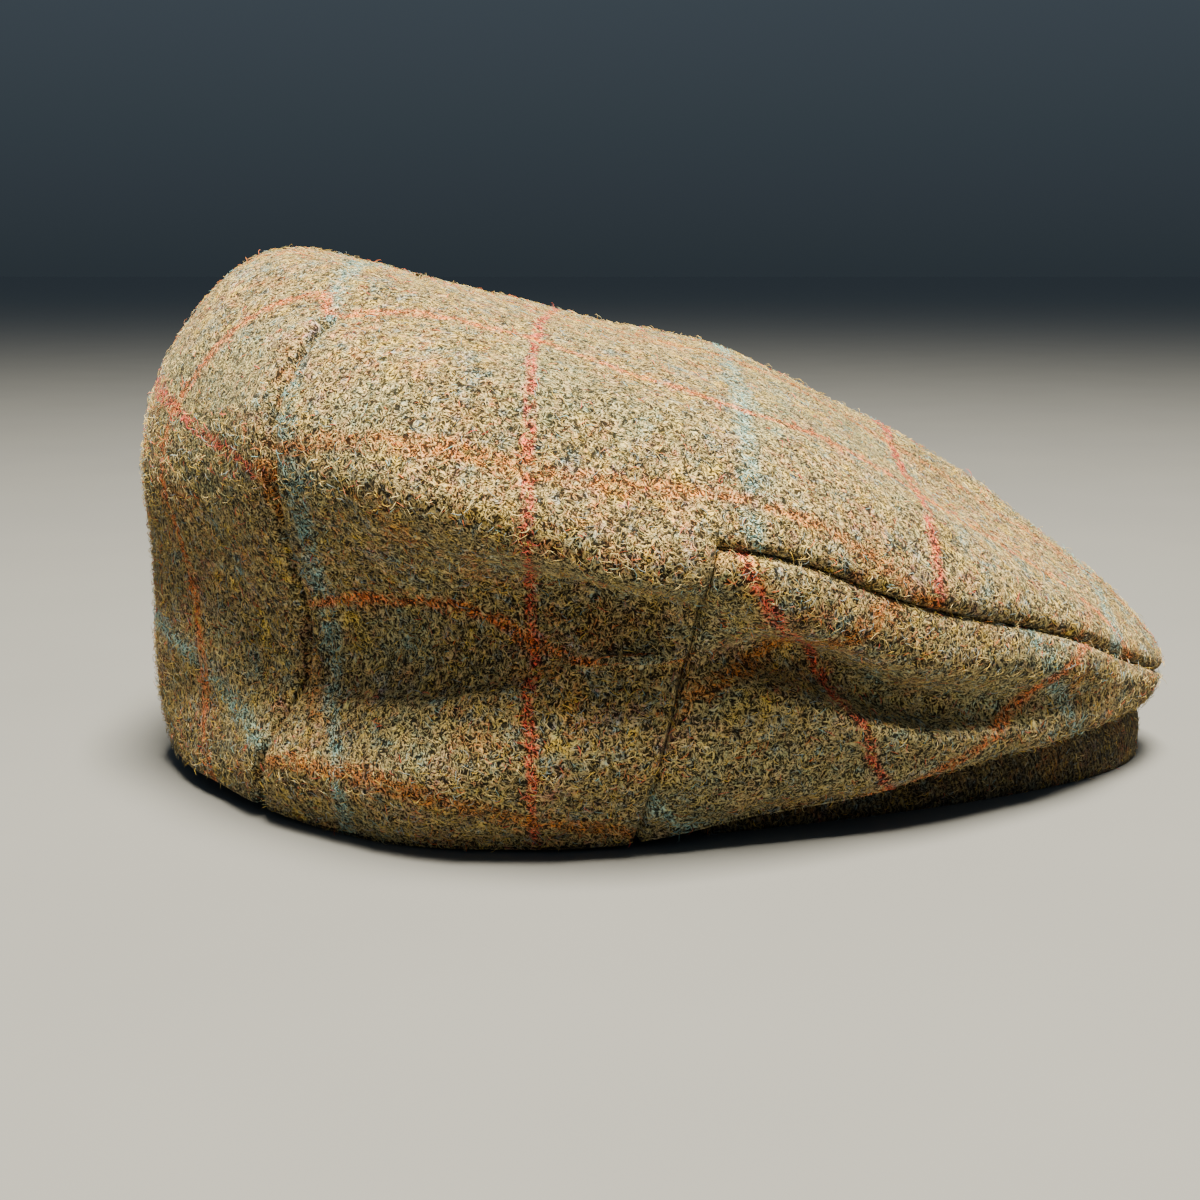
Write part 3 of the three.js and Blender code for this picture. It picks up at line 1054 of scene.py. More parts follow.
@dataclass
class FrontPanels:
    """The two front side panels, from the drop seams to the middle of the front.

    Attributes:
        cloth: The cloth that they are cut from.
        finish: Their finish.
    """

    cloth: Cloth
    finish: "TweedFinish"

    def height(self) -> Array:
        """How far the panels' cloth stands out.

        Returns:
            Heights over the grid, in millimetres.
        """
        cloth = self.cloth
        top = TOP_SEAM_UNDER.height(np.maximum(cloth.below_ridge, 0))
        drop = DROP_SEAM_AHEAD.height(np.maximum(-cloth.behind_drop, 0))
        front = FRONT_SEAM.height(cloth.behind_front)
        return cloth.folds() + np.minimum(np.minimum(top, drop), front)

    def build(self) -> list[Surface]:
        """Makes both panels.

        Returns:
            Their surfaces, the right one first.
        """
        cloth = self.cloth
        flat = cloth.corners(Grain().on_panel(cloth))
        height = self.height()
        made = []
        for number, side in enumerate(Side):
            cells = ~cloth.crown_cells()
            cells[1 - number] = False
            surface = ClothWall(cloth).build(cells, height, flat)
            name = side.name.lower()
            surface.dress(f"front_panel_{name}", "tweed", f"side_panel_{name}",
                          self.finish.material())
            made.append(surface)
        return made


@dataclass
class Peak:
    """The stiff visor, covered in cloth, with its edge turned down to the floor.

    Attributes:
        finish: Its finish.
        tip: X of the foremost point of the edge.
        half_width: Y of the corners of the edge.
        sweep: How far the corners lie behind the tip.
        inner_tip: X of the middle of the edge that is sewn to the head band.
        inner_half_width: Y of that edge's ends.
        inner_sweep: How far those ends lie behind its middle.
        thickness: How thick it is.
        rim_top: The height of the turned edge at the tip.
        rim_drop: How much lower it stands at the corners.
        inner_top: The height of the sewn edge in the middle.
        inner_drop: How much lower its ends are.
        foot_in: How far its foot is cut back on the floor.
        foot_rise: How high that cut reaches on the outside.
        foot_rise_inside: How high it reaches on the inside.
        inside_drop: How far down the inner corner of the turned edge is rounded.
        corner_in: How far in it is rounded.
        face: Points of the turned edge, as shares of the turn and of the rim's height.
        bow: Points of the upper face, as shares of the way in and of the rise.
        turn: How far in the turned edge reaches the upper face.
        check_at: Where the right corner of the edge lies on the flat cloth.
        steps: How many faces from corner to corner.
        smoothing: How many faces between two points of the section.
        softening: How many times the section's corners are softened.
    """

    finish: "TweedFinish"
    tip: float = 129.0
    half_width: float = 72.0
    sweep: float = 121.0
    inner_tip: float = 62.5
    inner_half_width: float = 67.0
    inner_sweep: float = 59.0
    thickness: float = 4.0
    rim_top: float = 14.6
    rim_drop: float = 8.8
    inner_top: float = 22.0
    inner_drop: float = 15.0
    foot_in: float = 0.8
    foot_rise: float = 1.6
    foot_rise_inside: float = 1.0
    inside_drop: float = 1.5
    corner_in: float = 2.0
    face: tuple[tuple[float, float], ...] = ((0.0, 0.55), (0.25, 0.86), (1.0, 1.0))
    bow: tuple[tuple[float, float], ...] = ((0.35, 0.38), (0.7, 0.74))
    turn: float = 4.0
    check_at: tuple[float, float] = (-60.0, 24.0)
    steps: int = 150
    smoothing: int = 5
    softening: int = 2

    def edge(self, across: float) -> Array:
        """The turned edge's place seen from above, from -1 on the right to 1 on the left."""
        return np.array([self.tip - self.sweep * across**2, self.half_width * across])

    def sewn_edge(self, across: float) -> Array:
        """The sewn edge's place seen from above."""
        return np.array([self.inner_tip - self.inner_sweep * across**2,
                         self.inner_half_width * across])

    def section(self, across: float, width: float) -> Array:
        """The peak's section at one place across it.

        Args:
            across: The place, from -1 at the right corner to 1 at the left.
            width: The distance from the edge to the sewn edge there.

        Returns:
            Points of distance in from the edge and height.
        """
        rim = self.rim_top - self.rim_drop * abs(across) ** 2.5
        inner = self.inner_top - self.inner_drop * across**2
        turn = min(self.turn, width * 0.5)
        rim_inside = rim - self.thickness
        upper = [(turn + (width - turn) * way, rim + (inner - rim) * rise)
                 for way, rise in (*self.bow, (1.0, 1.0))]
        return np.array([
            (self.foot_in, 0.0),
            (0.0, self.foot_rise),
            *[(turn * way, rim * rise) for way, rise in self.face],
            *upper,
            *[(way, height - self.thickness) for way, height in reversed(upper)],
            (min(self.thickness + self.corner_in, width * 0.8), rim_inside),
            (self.thickness, max(rim_inside - self.inside_drop, self.foot_rise)),
            (self.thickness - self.foot_in / 2, self.foot_rise_inside),
            (self.thickness - self.foot_in, 0.0),
        ])

    def smoothed(self, ring: Array) -> Array:
        """The section with its corners rounded.

        Args:
            ring: The section's points.

        Returns:
            More points, on a smooth closed curve near them.
        """
        t = (np.arange(self.smoothing) / self.smoothing)[None, :, None]
        rows = [np.roll(ring, 1 - step, axis=0)[:, None] for step in range(4)]
        curve = catmull_rom(rows, t).reshape(-1, 2)
        for _ in range(self.softening):
            curve = (np.roll(curve, 1, axis=0) + 2 * curve + np.roll(curve, -1, axis=0)) / 4
        return np.maximum(curve, 0)

    def rings(self) -> tuple[Array, Array]:
        """Lays the section round the peak, from corner to corner.

        Returns:
            The points of every ring, and their coordinates on the flat cloth.
        """
        points, flats = [], []
        arc = 0.0
        last = self.edge(-1.0)
        for across in np.linspace(-1, 1, self.steps + 1):
            outer = self.edge(across)
            inward = self.sewn_edge(across) - outer
            width = float(np.linalg.norm(inward))
            ring = self.smoothed(self.section(across, width))
            points.append(np.column_stack([outer + ring[:, :1] * (inward / width), ring[:, 1]]))
            arc += float(np.linalg.norm(outer - last))
            last = outer
            round_arc = np.cumsum(np.linalg.norm(np.diff(ring, axis=0, prepend=ring[:1]), axis=1))
            flats.append(np.column_stack([np.full(len(ring), arc), round_arc]) + self.check_at)
        return np.array(points), np.array(flats)

    def build(self) -> Surface:
        """Makes the peak.

        Returns:
            Its surface.
        """
        points, flat = self.rings()
        count = points.shape[1]
        number = np.arange(points[..., 0].size).reshape(points.shape[:2])
        around = np.roll(np.arange(count), -1)
        faces, corner_flat = (
            np.stack([grid[:-1], grid[:-1, around], grid[1:, around], grid[1:]], 2)
            for grid in (number, flat))
        corner_flat[:, -1, 1:3] = corner_flat[:, -1, [0, 3]] + (0.0, 0.5)  # no jump to the start
        faces, corner_flat = faces.reshape(-1, 4), corner_flat.reshape(-1, 4, 2)
        cap_faces, cap_flat = self.end_caps(number, flat)
        surface = Surface(points.reshape(-1, 3), np.concatenate([faces, cap_faces]),
                          np.concatenate([corner_flat, cap_flat]), len(faces))
        self.face_out(surface)
        surface.dress("peak_cloth", "peak_tweed", "peak", self.finish.material())
        return surface

    @staticmethod
    def end_caps(number: Array, flat: Array) -> tuple[Array, Array]:
        """Closes the two ends with strips of four-sided faces across the section.

        A section with an odd number of points keeps one three-sided gap, about 1 mm across.

        Args:
            number: The vertex numbers of every ring.
            flat: Their flat coordinates.

        Returns:
            The faces and the flat coordinates of their corners.
        """
        faces, flats = [], []
        count = number.shape[1]
        for end, order in ((0, -1), (-1, 1)):
            for low in range((count - 2) // 2):
                corners = [low, low + 1, count - 2 - low, count - 1 - low][::order]
                faces.append(number[end][corners])
                flats.append(flat[end][corners])
        return np.array(faces), np.array(flats)

    @staticmethod
    def face_out(surface: Surface) -> None:
        """Turns the faces outward if they face in.

        Args:
            surface: The peak's surface.
        """
        ring = surface.points[surface.faces]
        cross = np.cross(ring[:, 2] - ring[:, 0], ring[:, 3] - ring[:, 1])
        if (ring.mean(1) * cross).sum() < 0:
            surface.faces = surface.faces[:, ::-1]
            surface.flat = surface.flat[:, ::-1]


# ------------------------------------------------------------------ finishes


class NodePad:
    """A material's nodes, added one call at a time."""

    def __init__(self, name: str) -> None:
        """Starts an empty material.

        Args:
            name: The material's name.
        """
        self.material = bpy.data.materials.new(name)
        self.material.use_nodes = True
        self.tree = self.material.node_tree
        self.tree.nodes.clear()

    def add(self, kind: str, inputs: dict | None = None, **settings: object) -> bpy.types.Node:
        """Adds a node.

        Args:
            kind: The node's type, without its ShaderNode prefix.
            inputs: Sockets or values for its inputs, by name or number.
            settings: Its settings.

        Returns:
            The node.
        """
        node = self.tree.nodes.new(f"ShaderNode{kind}")
        for key, value in settings.items():
            setattr(node, key, value)
        for key, value in (inputs or {}).items():
            if isinstance(value, Socket):
                self.tree.links.new(value, node.inputs[key])
            else:
                node.inputs[key].default_value = value
        return node

    def math(self, operation: str, *values: Socket | float) -> Socket:
        """The result of a Math node on sockets or numbers."""
        return self.add("Math", dict(enumerate(values)), operation=operation).outputs[0]

    def vector(self, operation: str, *values: Socket | Color) -> Socket:
        """The result of a Vector Math node on sockets or vectors."""
        return self.add("VectorMath", dict(enumerate(values)), operation=operation).outputs[0]

    def mix(self, share: Socket | float, first: Socket | Color, second: Socket | Color,
            blend: str = "MIX") -> Socket:
        """The mix of two colours.

        Args:
            share: How much of the second.
            first: The first colour.
            second: The second colour.
            blend: The way they are blended.

        Returns:
            The result's socket.
        """
        ends = [(*end, 1.0) if isinstance(end, tuple) else end for end in (first, second)]
        inputs = dict(zip((0, 6, 7), (share, *ends)))  # the node's share and colour inputs
        return self.add("Mix", inputs, data_type="RGBA", blend_type=blend).outputs[2]

    def toned(self, colour: Socket, tone: Socket | float) -> Socket:
        """The colour multiplied by a tone."""
        grey = self.add("CombineColor", dict.fromkeys(range(3), tone)).outputs[0]
        return self.mix(1.0, colour, grey, "MULTIPLY")

    def step(self, value: Socket, start: float, end: float) -> Socket:
        """A smooth step from 0 at start to 1 at end."""
        inputs = {0: value, 1: start, 2: end, 3: 0.0, 4: 1.0}
        return self.add("MapRange", inputs, interpolation_type="SMOOTHSTEP").outputs[0]

    def noise(self, place: Socket, size: float, detail: float = 1.0, rough: float = 0.5,
              shift: float = 0.0) -> bpy.types.Node:
        """A noise texture.

        Args:
            place: The socket of the place it is read at, in metres.
            size: The size of its swells, in millimetres.
            detail: Its octaves.
            rough: Its roughness.
            shift: A fourth coordinate, which gives another pattern.

        Returns:
            The node.
        """
        inputs = {"Vector": place, "W": shift, "Scale": 1000 / size, "Detail": detail,
                  "Roughness": rough}
        return self.add("TexNoise", inputs, noise_dimensions="4D")

    def ramp(self, value: Socket, stops: list[tuple[float, Color]],
             interpolation: str = "LINEAR") -> Socket:
        """A colour ramp.

        Args:
            value: The socket that is looked up.
            stops: Places and colours.
            interpolation: How the colours run into each other.

        Returns:
            The colour's socket.
        """
        node = self.add("ValToRGB", {0: value})
        node.color_ramp.interpolation = interpolation
        elements = node.color_ramp.elements
        while len(elements) < len(stops):
            elements.new(0.5)
        for element, (place_on, colour) in zip(elements, stops):
            element.position = place_on
            element.color = (*colour, 1.0)
        return node.outputs[0]

    def shader(self, settings: dict, normal: Socket | None = None) -> None:
        """Finishes the material with its shader.

        Args:
            settings: The shader's inputs.
            normal: The socket of the bumped normal.
        """
        inputs = dict(settings)
        if normal:
            inputs["Normal"] = normal
        surface = self.add("BsdfPrincipled", inputs)
        self.add("OutputMaterial", {"Surface": surface.outputs[0]})


@dataclass(frozen=True)
class Line:
    """One coloured line of the check.

    Attributes:
        yarn: Its wool.
        across: Whether it crosses the cap, or runs along it.
        first: Where one of them lies on the flat cloth, in millimetres.
        repeat: The distance from one to the next.
        width: How wide it is.
        strength: How much of the ground it covers.
    """

    yarn: Yarn
    across: bool
    first: float
    repeat: float
    width: float
    strength: float

    def cover(self, along: Array, out: Array) -> Array:
        """Which places on the flat cloth the line covers.

        Args:
            along: Their first coordinates.
            out: Their second coordinates.

        Returns:
            True where it does.
        """
        place_on = along if self.across else out
        near = abs((place_on - self.first + self.repeat / 2) % self.repeat - self.repeat / 2)
        return near < self.width / 2


LINES = (
    Line(Yarn.TEAL, across=True, first=16.0, repeat=95.0, width=4.8, strength=0.68),
    Line(Yarn.SCARLET, across=True, first=63.5, repeat=95.0, width=2.6, strength=0.94),
    Line(Yarn.CHESTNUT, across=False, first=20.0, repeat=87.0, width=5.0, strength=0.94),
    Line(Yarn.RUST, across=False, first=63.5, repeat=87.0, width=3.4, strength=0.94),
)


@dataclass(frozen=True)
class TweedFinish:
    """Milled tweed with a soft check.

    Sizes are in millimetres. A patch is given by the step in a noise at which it begins and
    the step at which it is whole.

    Attributes:
        name: The material's name.
        ground: The heather mixture, as places on a ramp and colours.
        clouds: The colours that gather in patches, and how far they cover the mixture.
        cloud_size: The size of the first colour's patches.
        cloud_growth: How much larger each further colour's patches are.
        cloud_step: Where those patches begin and are whole.
        far_tint: The colour of the broad patches.
        far_share: How far they cover the cloth.
        far_size: Their size.
        far_step: Where they begin and are whole.
        light: How light the whole cloth is. Below one it is painted shade over the whole cloth, as
            on the peak.
        shade_size: The size of its lighter and darker clouds.
        shade_spread: How far apart they are.
        curl: How far the strands curl.
        curl_size: The size of a curl.
        tuft: The size of a tuft of one colour.
        fleck: The size of a fleck within it.
        strand: How thick a strand is.
        draw_out: How thick the strands are, as a share of their length.
        turns: The ways that the mats of strands lie, in degrees round each axis.
        lit_step: Where a strand, and the painted light on it, begins and is whole.
        crossed_step: Where two crossed strands begin and are whole.
        light_and_shade_contrast: How much lighter the strands are than the gaps between them, as
            painted light on the strands and painted shade in the gaps.
        pale: How far the palest fibres cover the cloth.
        pale_size: The size of a tuft of them.
        pale_step: Where one begins and is whole.
        pale_height: How high they lie, beside the pile.
        bump: How strongly the pile stands out.
        bump_depth: How deep the pile is.
        check: How strongly the lines of the check show.
        waver: How far they waver.
        waver_size: The size of a waver.
        break_size: The size of the breaks in them.
        break_step: Where a line begins and is whole.
        core: How far from its middle a line is whole, as a share of its width.
        fringe: How far from its middle it ends.
        hidden: How far crossed strands hide it.
        dulled: How far the palest fibres are kept off it.
        rib: How strongly fine ribs show.
        rib_pitch: The distance from one rib to the next.
        rib_slant: How far the ribs slant, as a share of their length.
        rib_valley_shade: The painted shade between the ribs.
        rib_shade: How far that painted shade covers the cloth there.
        rib_height: How high the ribs are, beside the pile.
        rib_waver: How far they waver, in decimetres.
        rib_waver_size: The size of a waver, in tenths of a millimetre.
    """

    name: str
    ground: tuple[tuple[float, Color], ...] = (
        (0.00, (0.150, 0.105, 0.050)),
        (0.26, (0.235, 0.170, 0.075)),
        (0.46, (0.340, 0.250, 0.115)),
        (0.60, (0.460, 0.320, 0.075)),
        (0.70, (0.215, 0.215, 0.095)),
        (0.79, (0.400, 0.150, 0.050)),
        (0.86, (0.140, 0.195, 0.215)),
        (0.94, (0.045, 0.030, 0.018)),
    )
    clouds: tuple[tuple[Color, float], ...] = (
        ((0.520, 0.345, 0.030), 0.66),
        ((0.110, 0.225, 0.240), 0.64),
        ((0.300, 0.105, 0.090), 0.46),
        ((0.480, 0.155, 0.020), 0.44),
    )
    cloud_size: float = 6.0
    cloud_growth: float = 1.5
    cloud_step: tuple[float, float] = (0.54, 0.66)
    far_tint: Color = (0.195, 0.240, 0.145)
    far_share: float = 0.42
    far_size: float = 34.0
    far_step: tuple[float, float] = (0.46, 0.62)
    light: float = 1.0
    shade_size: float = 14.0
    shade_spread: float = 0.85
    curl: float = 3.0
    curl_size: float = 2.2
    tuft: float = 1.9
    fleck: float = 0.75
    strand: float = 0.41
    draw_out: float = 0.2
    turns: tuple[tuple[int, int, int], ...] = ((0, 10, 0), (0, 55, 40), (20, -50, 75), (0, 95, -30))
    lit_step: tuple[float, float] = (0.57, 0.68)
    crossed_step: tuple[float, float] = (0.46, 0.60)
    light_and_shade_contrast: float = 1.9
    pale: float = 0.62
    pale_size: float = 1.3
    pale_step: tuple[float, float] = (0.42, 0.6)
    pale_height: float = 0.8
    bump: float = 0.7
    bump_depth: float = 0.45
    check: float = 1.0
    waver: float = 3.0
    waver_size: float = 5.0
    break_size: float = 2.2
    break_step: tuple[float, float] = (0.32, 0.53)
    core: float = 0.18
    fringe: float = 0.72
    hidden: float = 0.35
    dulled: float = 0.6
    rib: float = 0.0
    rib_pitch: float = 1.25
    rib_slant: float = 0.35
    rib_valley_shade: Color = (0.03, 0.02, 0.013)
    rib_shade: float = 0.55
    rib_height: float = 1.6
    rib_waver: float = 0.012
    rib_waver_size: float = 60.0

    def curled(self, pad: NodePad, at: Socket) -> Socket:
        """The place in space, moved about so that the strands curl.

        Args:
            pad: The material's nodes.
            at: The place in space.

        Returns:
            The moved place.
        """
        tangle = pad.noise(at, self.curl_size, detail=1.5).outputs["Color"]
        tangle = pad.vector("SUBTRACT", tangle, (0.5,) * 3)
        return pad.vector("MULTIPLY_ADD", tangle, (self.curl * MM,) * 3, at)

    def strands(self, pad: NodePad, at: Socket, number: int) -> Socket:
        """Short strands that mostly lie one way, as a noise that is drawn out.

        Args:
            pad: The material's nodes.
            at: The place, already curled.
            number: Which of the mats of strands it is.

        Returns:
            A socket, highest on a strand.
        """
        turned = pad.add("Mapping", {
            "Vector": at,
            "Rotation": tuple(math.radians(angle) for angle in self.turns[number]),
            "Scale": (1 / self.draw_out, 1.0, 1.0),
        }, vector_type="TEXTURE").outputs[0]
        return pad.noise(turned, self.strand, shift=11.0 + 13 * number).outputs[0]

    def heather(self, pad: NodePad, at: Socket, curled: Socket) -> Socket:
        """The mixture of dyed wools, with the patches where one of them gathers.

        Args:
            pad: The material's nodes.
            at: The place in space.
            curled: The place, curled.

        Returns:
            The colour.
        """
        picks = []
        for size, part in ((self.tuft, 0), (self.fleck, 1)):
            cells = pad.add("TexVoronoi", {"Vector": curled, "Scale": 1000 / size})
            value = pad.add("SeparateColor", {0: cells.outputs["Color"]}).outputs[part]
            picks.append(pad.ramp(value, list(self.ground), "CONSTANT"))
        colour = pad.mix(0.5, *picks)
        for number, (tint, share) in enumerate(self.clouds):
            size = self.cloud_size + self.cloud_growth * number
            cloud = pad.noise(at, size, detail=3.0, rough=0.62, shift=40.0 + number)
            patch = pad.step(cloud.outputs[0], *self.cloud_step)
            colour = pad.mix(pad.math("MULTIPLY", patch, share), colour, tint)
        far = pad.step(pad.noise(at, self.far_size, shift=60.0).outputs[0], *self.far_step)
        return pad.mix(pad.math("MULTIPLY", far, self.far_share), colour, self.far_tint)

    def lines(self, pad: NodePad, cloth: Socket, at: Socket, colour: Socket,
              mat: Socket) -> tuple[Socket, Socket]:
        """Draws the check over the ground.

        Args:
            pad: The material's nodes.
            cloth: The place on the flat cloth.
            at: The place in space.
            colour: The ground's colour.
            mat: The fibres, which break up the lines.

        Returns:
            The colour, and a socket that is 0 on the lines and 1 elsewhere.
        """
        split = pad.add("SeparateXYZ", {0: cloth})
        waver = pad.noise(at, self.waver_size, detail=2.0, shift=3.0).outputs[0]
        waver = pad.math("MULTIPLY", pad.math("SUBTRACT", waver, 0.5), self.waver)
        patchy = pad.noise(at, self.break_size, detail=2.0, shift=5.0).outputs[0]
        broken = pad.step(patchy, *self.break_step)
        kept = pad.math("MULTIPLY", broken, pad.math("MULTIPLY_ADD", mat, -self.hidden, 1.0))
        clear = 1.0
        for line in LINES:
            place_on = pad.math("MULTIPLY", split.outputs[0 if line.across else 1], 100.0)
            centred = pad.math("SUBTRACT", pad.math("ADD", place_on, waver), line.first)
            near = pad.math("PINGPONG", centred, line.repeat / 2)
            off_line = pad.step(near, line.width * self.core, line.width * self.fringe)
            on_line = pad.math("SUBTRACT", 1.0, off_line)
            share = pad.math("MULTIPLY", on_line, kept)
            share = pad.math("MULTIPLY", share, line.strength * self.check)
            colour = pad.mix(share, colour, line.yarn.value)
            left = pad.math("MULTIPLY_ADD", share, -self.dulled, 1.0)
            clear = pad.math("MULTIPLY", clear, left)
        return colour, clear

    def ribs(self, pad: NodePad, cloth: Socket, colour: Socket,
             height: Socket) -> tuple[Socket, Socket]:
        """Adds fine ribs, where the cloth is drawn tight over a board, with painted shade in the
        valleys between them.

        Args:
            pad: The material's nodes.
            cloth: The place on the flat cloth.
            colour: The colour so far.
            height: The height so far.

        Returns:
            The colour and the height with the ribs.
        """
        split = pad.add("SeparateXYZ", {0: cloth})
        waver = pad.noise(cloth, self.rib_waver_size, detail=2.0, shift=9.0).outputs[0]
        along = pad.math("MULTIPLY_ADD", split.outputs[1], self.rib_slant, split.outputs[0])
        along = pad.math("MULTIPLY_ADD", waver, self.rib_waver, along)
        wave = pad.math("SINE", pad.math("MULTIPLY", along, 100 * 2 * math.pi / self.rib_pitch))
        rib = pad.math("MULTIPLY_ADD", wave, 0.5, 0.5)
        # painted shade in the valleys between the ribs
        valley = pad.math("MULTIPLY", pad.math("SUBTRACT", 1.0, rib), self.rib_shade * self.rib)
        colour = pad.mix(valley, colour, self.rib_valley_shade)
        return colour, pad.math("MULTIPLY_ADD", rib, self.rib_height * self.rib, height)

    def material(self) -> bpy.types.Material:
        """The finish as a material, made once.

        Returns:
            The material.
        """
        if self.name in bpy.data.materials:
            return bpy.data.materials[self.name]
        pad = NodePad(self.name)
        at = pad.add("TexCoord").outputs["Object"]
        cloth = pad.add("UVMap", uv_map=CLOTH_MAP).outputs[0]
        curled = self.curled(pad, at)
        mats = [self.strands(pad, curled, number) for number in range(len(self.turns))]
        pairs = [pad.math("MAXIMUM", *mats[:2]), pad.math("MAXIMUM", *mats[2:])]
        lit = pad.step(pad.math("MAXIMUM", *pairs), *self.lit_step)
        crossed = pad.step(pad.math("MINIMUM", *pairs), *self.crossed_step)
        colour = self.heather(pad, at, curled)
        colour, clear = self.lines(pad, cloth, at, colour, crossed)
        cloudy = pad.noise(at, self.shade_size, detail=3.0, shift=1.0).outputs[0]
        cloudy = pad.math("SUBTRACT", cloudy, 0.5)
        tone = pad.math("MULTIPLY_ADD", cloudy, self.shade_spread, 1.0)
        # painted light on the strands and painted shade in the gaps between them
        shade = pad.math("MULTIPLY_ADD", lit, self.light_and_shade_contrast, 1 - 0.5 * self.light_and_shade_contrast)
        colour = pad.toned(colour, pad.math("MULTIPLY", tone, shade))
        pale = pad.step(pad.noise(at, self.pale_size, shift=8.0).outputs[0], *self.pale_step)
        pale = pad.math("MULTIPLY", pad.math("MULTIPLY", crossed, pale), clear)
        colour = pad.mix(pad.math("MULTIPLY", pale, self.pale), colour, Yarn.CREAM.value)
        height = pad.math("ADD", lit, pad.math("MULTIPLY", pale, self.pale_height))
        if self.rib:
            colour, height = self.ribs(pad, cloth, colour, height)
        normal = pad.add("Bump", {"Strength": self.bump, "Distance": self.bump_depth * MM,
                                  "Height": height})
        pad.shader({
            # the whole cloth's lightness; below one it paints shade over all of it
            "Base Color": pad.toned(colour, self.light),
            "Roughness": 0.92,
            "Specular IOR Level": 0.12,
            "Sheen Weight": 0.10,
            "Sheen Roughness": 0.5,
            "Sheen Tint": (0.95, 0.86, 0.70, 1.0),
        }, normal.outputs[0])
        return pad.material


@dataclass(frozen=True)
class LooseFibreFinish:
    """Single fibres of dyed wool, each with the colour of its yarn.

    A fibre's place on the yarn map says which yarn it is, across, and how light it is, up.

    Attributes:
        name: The material's name.
        darkest: How light the darkest fibre of a yarn is.
        lightest: How light the lightest is.
    """

    name: str = "loose wool fibres"
    darkest: float = 0.5
    lightest: float = 1.4

    def material(self) -> bpy.types.Material:
        """The finish as a material, made once.

        Returns:
            The material.
        """
        if self.name in bpy.data.materials:
            return bpy.data.materials[self.name]
        pad = NodePad(self.name)
        split = pad.add("SeparateXYZ", {0: pad.add("UVMap", uv_map=YARN_MAP).outputs[0]})
        stops = [(number / len(YARNS), yarn.value) for number, yarn in enumerate(YARNS)]
        colour = pad.ramp(split.outputs[0], stops, "CONSTANT")
        spread = self.lightest - self.darkest
        tone = pad.math("MULTIPLY_ADD", split.outputs[1], spread, self.darkest)
        pad.shader({
            "Base Color": pad.toned(colour, tone),
            "Roughness": 0.7,
            "Specular IOR Level": 0.25,
            "Sheen Weight": 0.2,
        })
        return pad.material


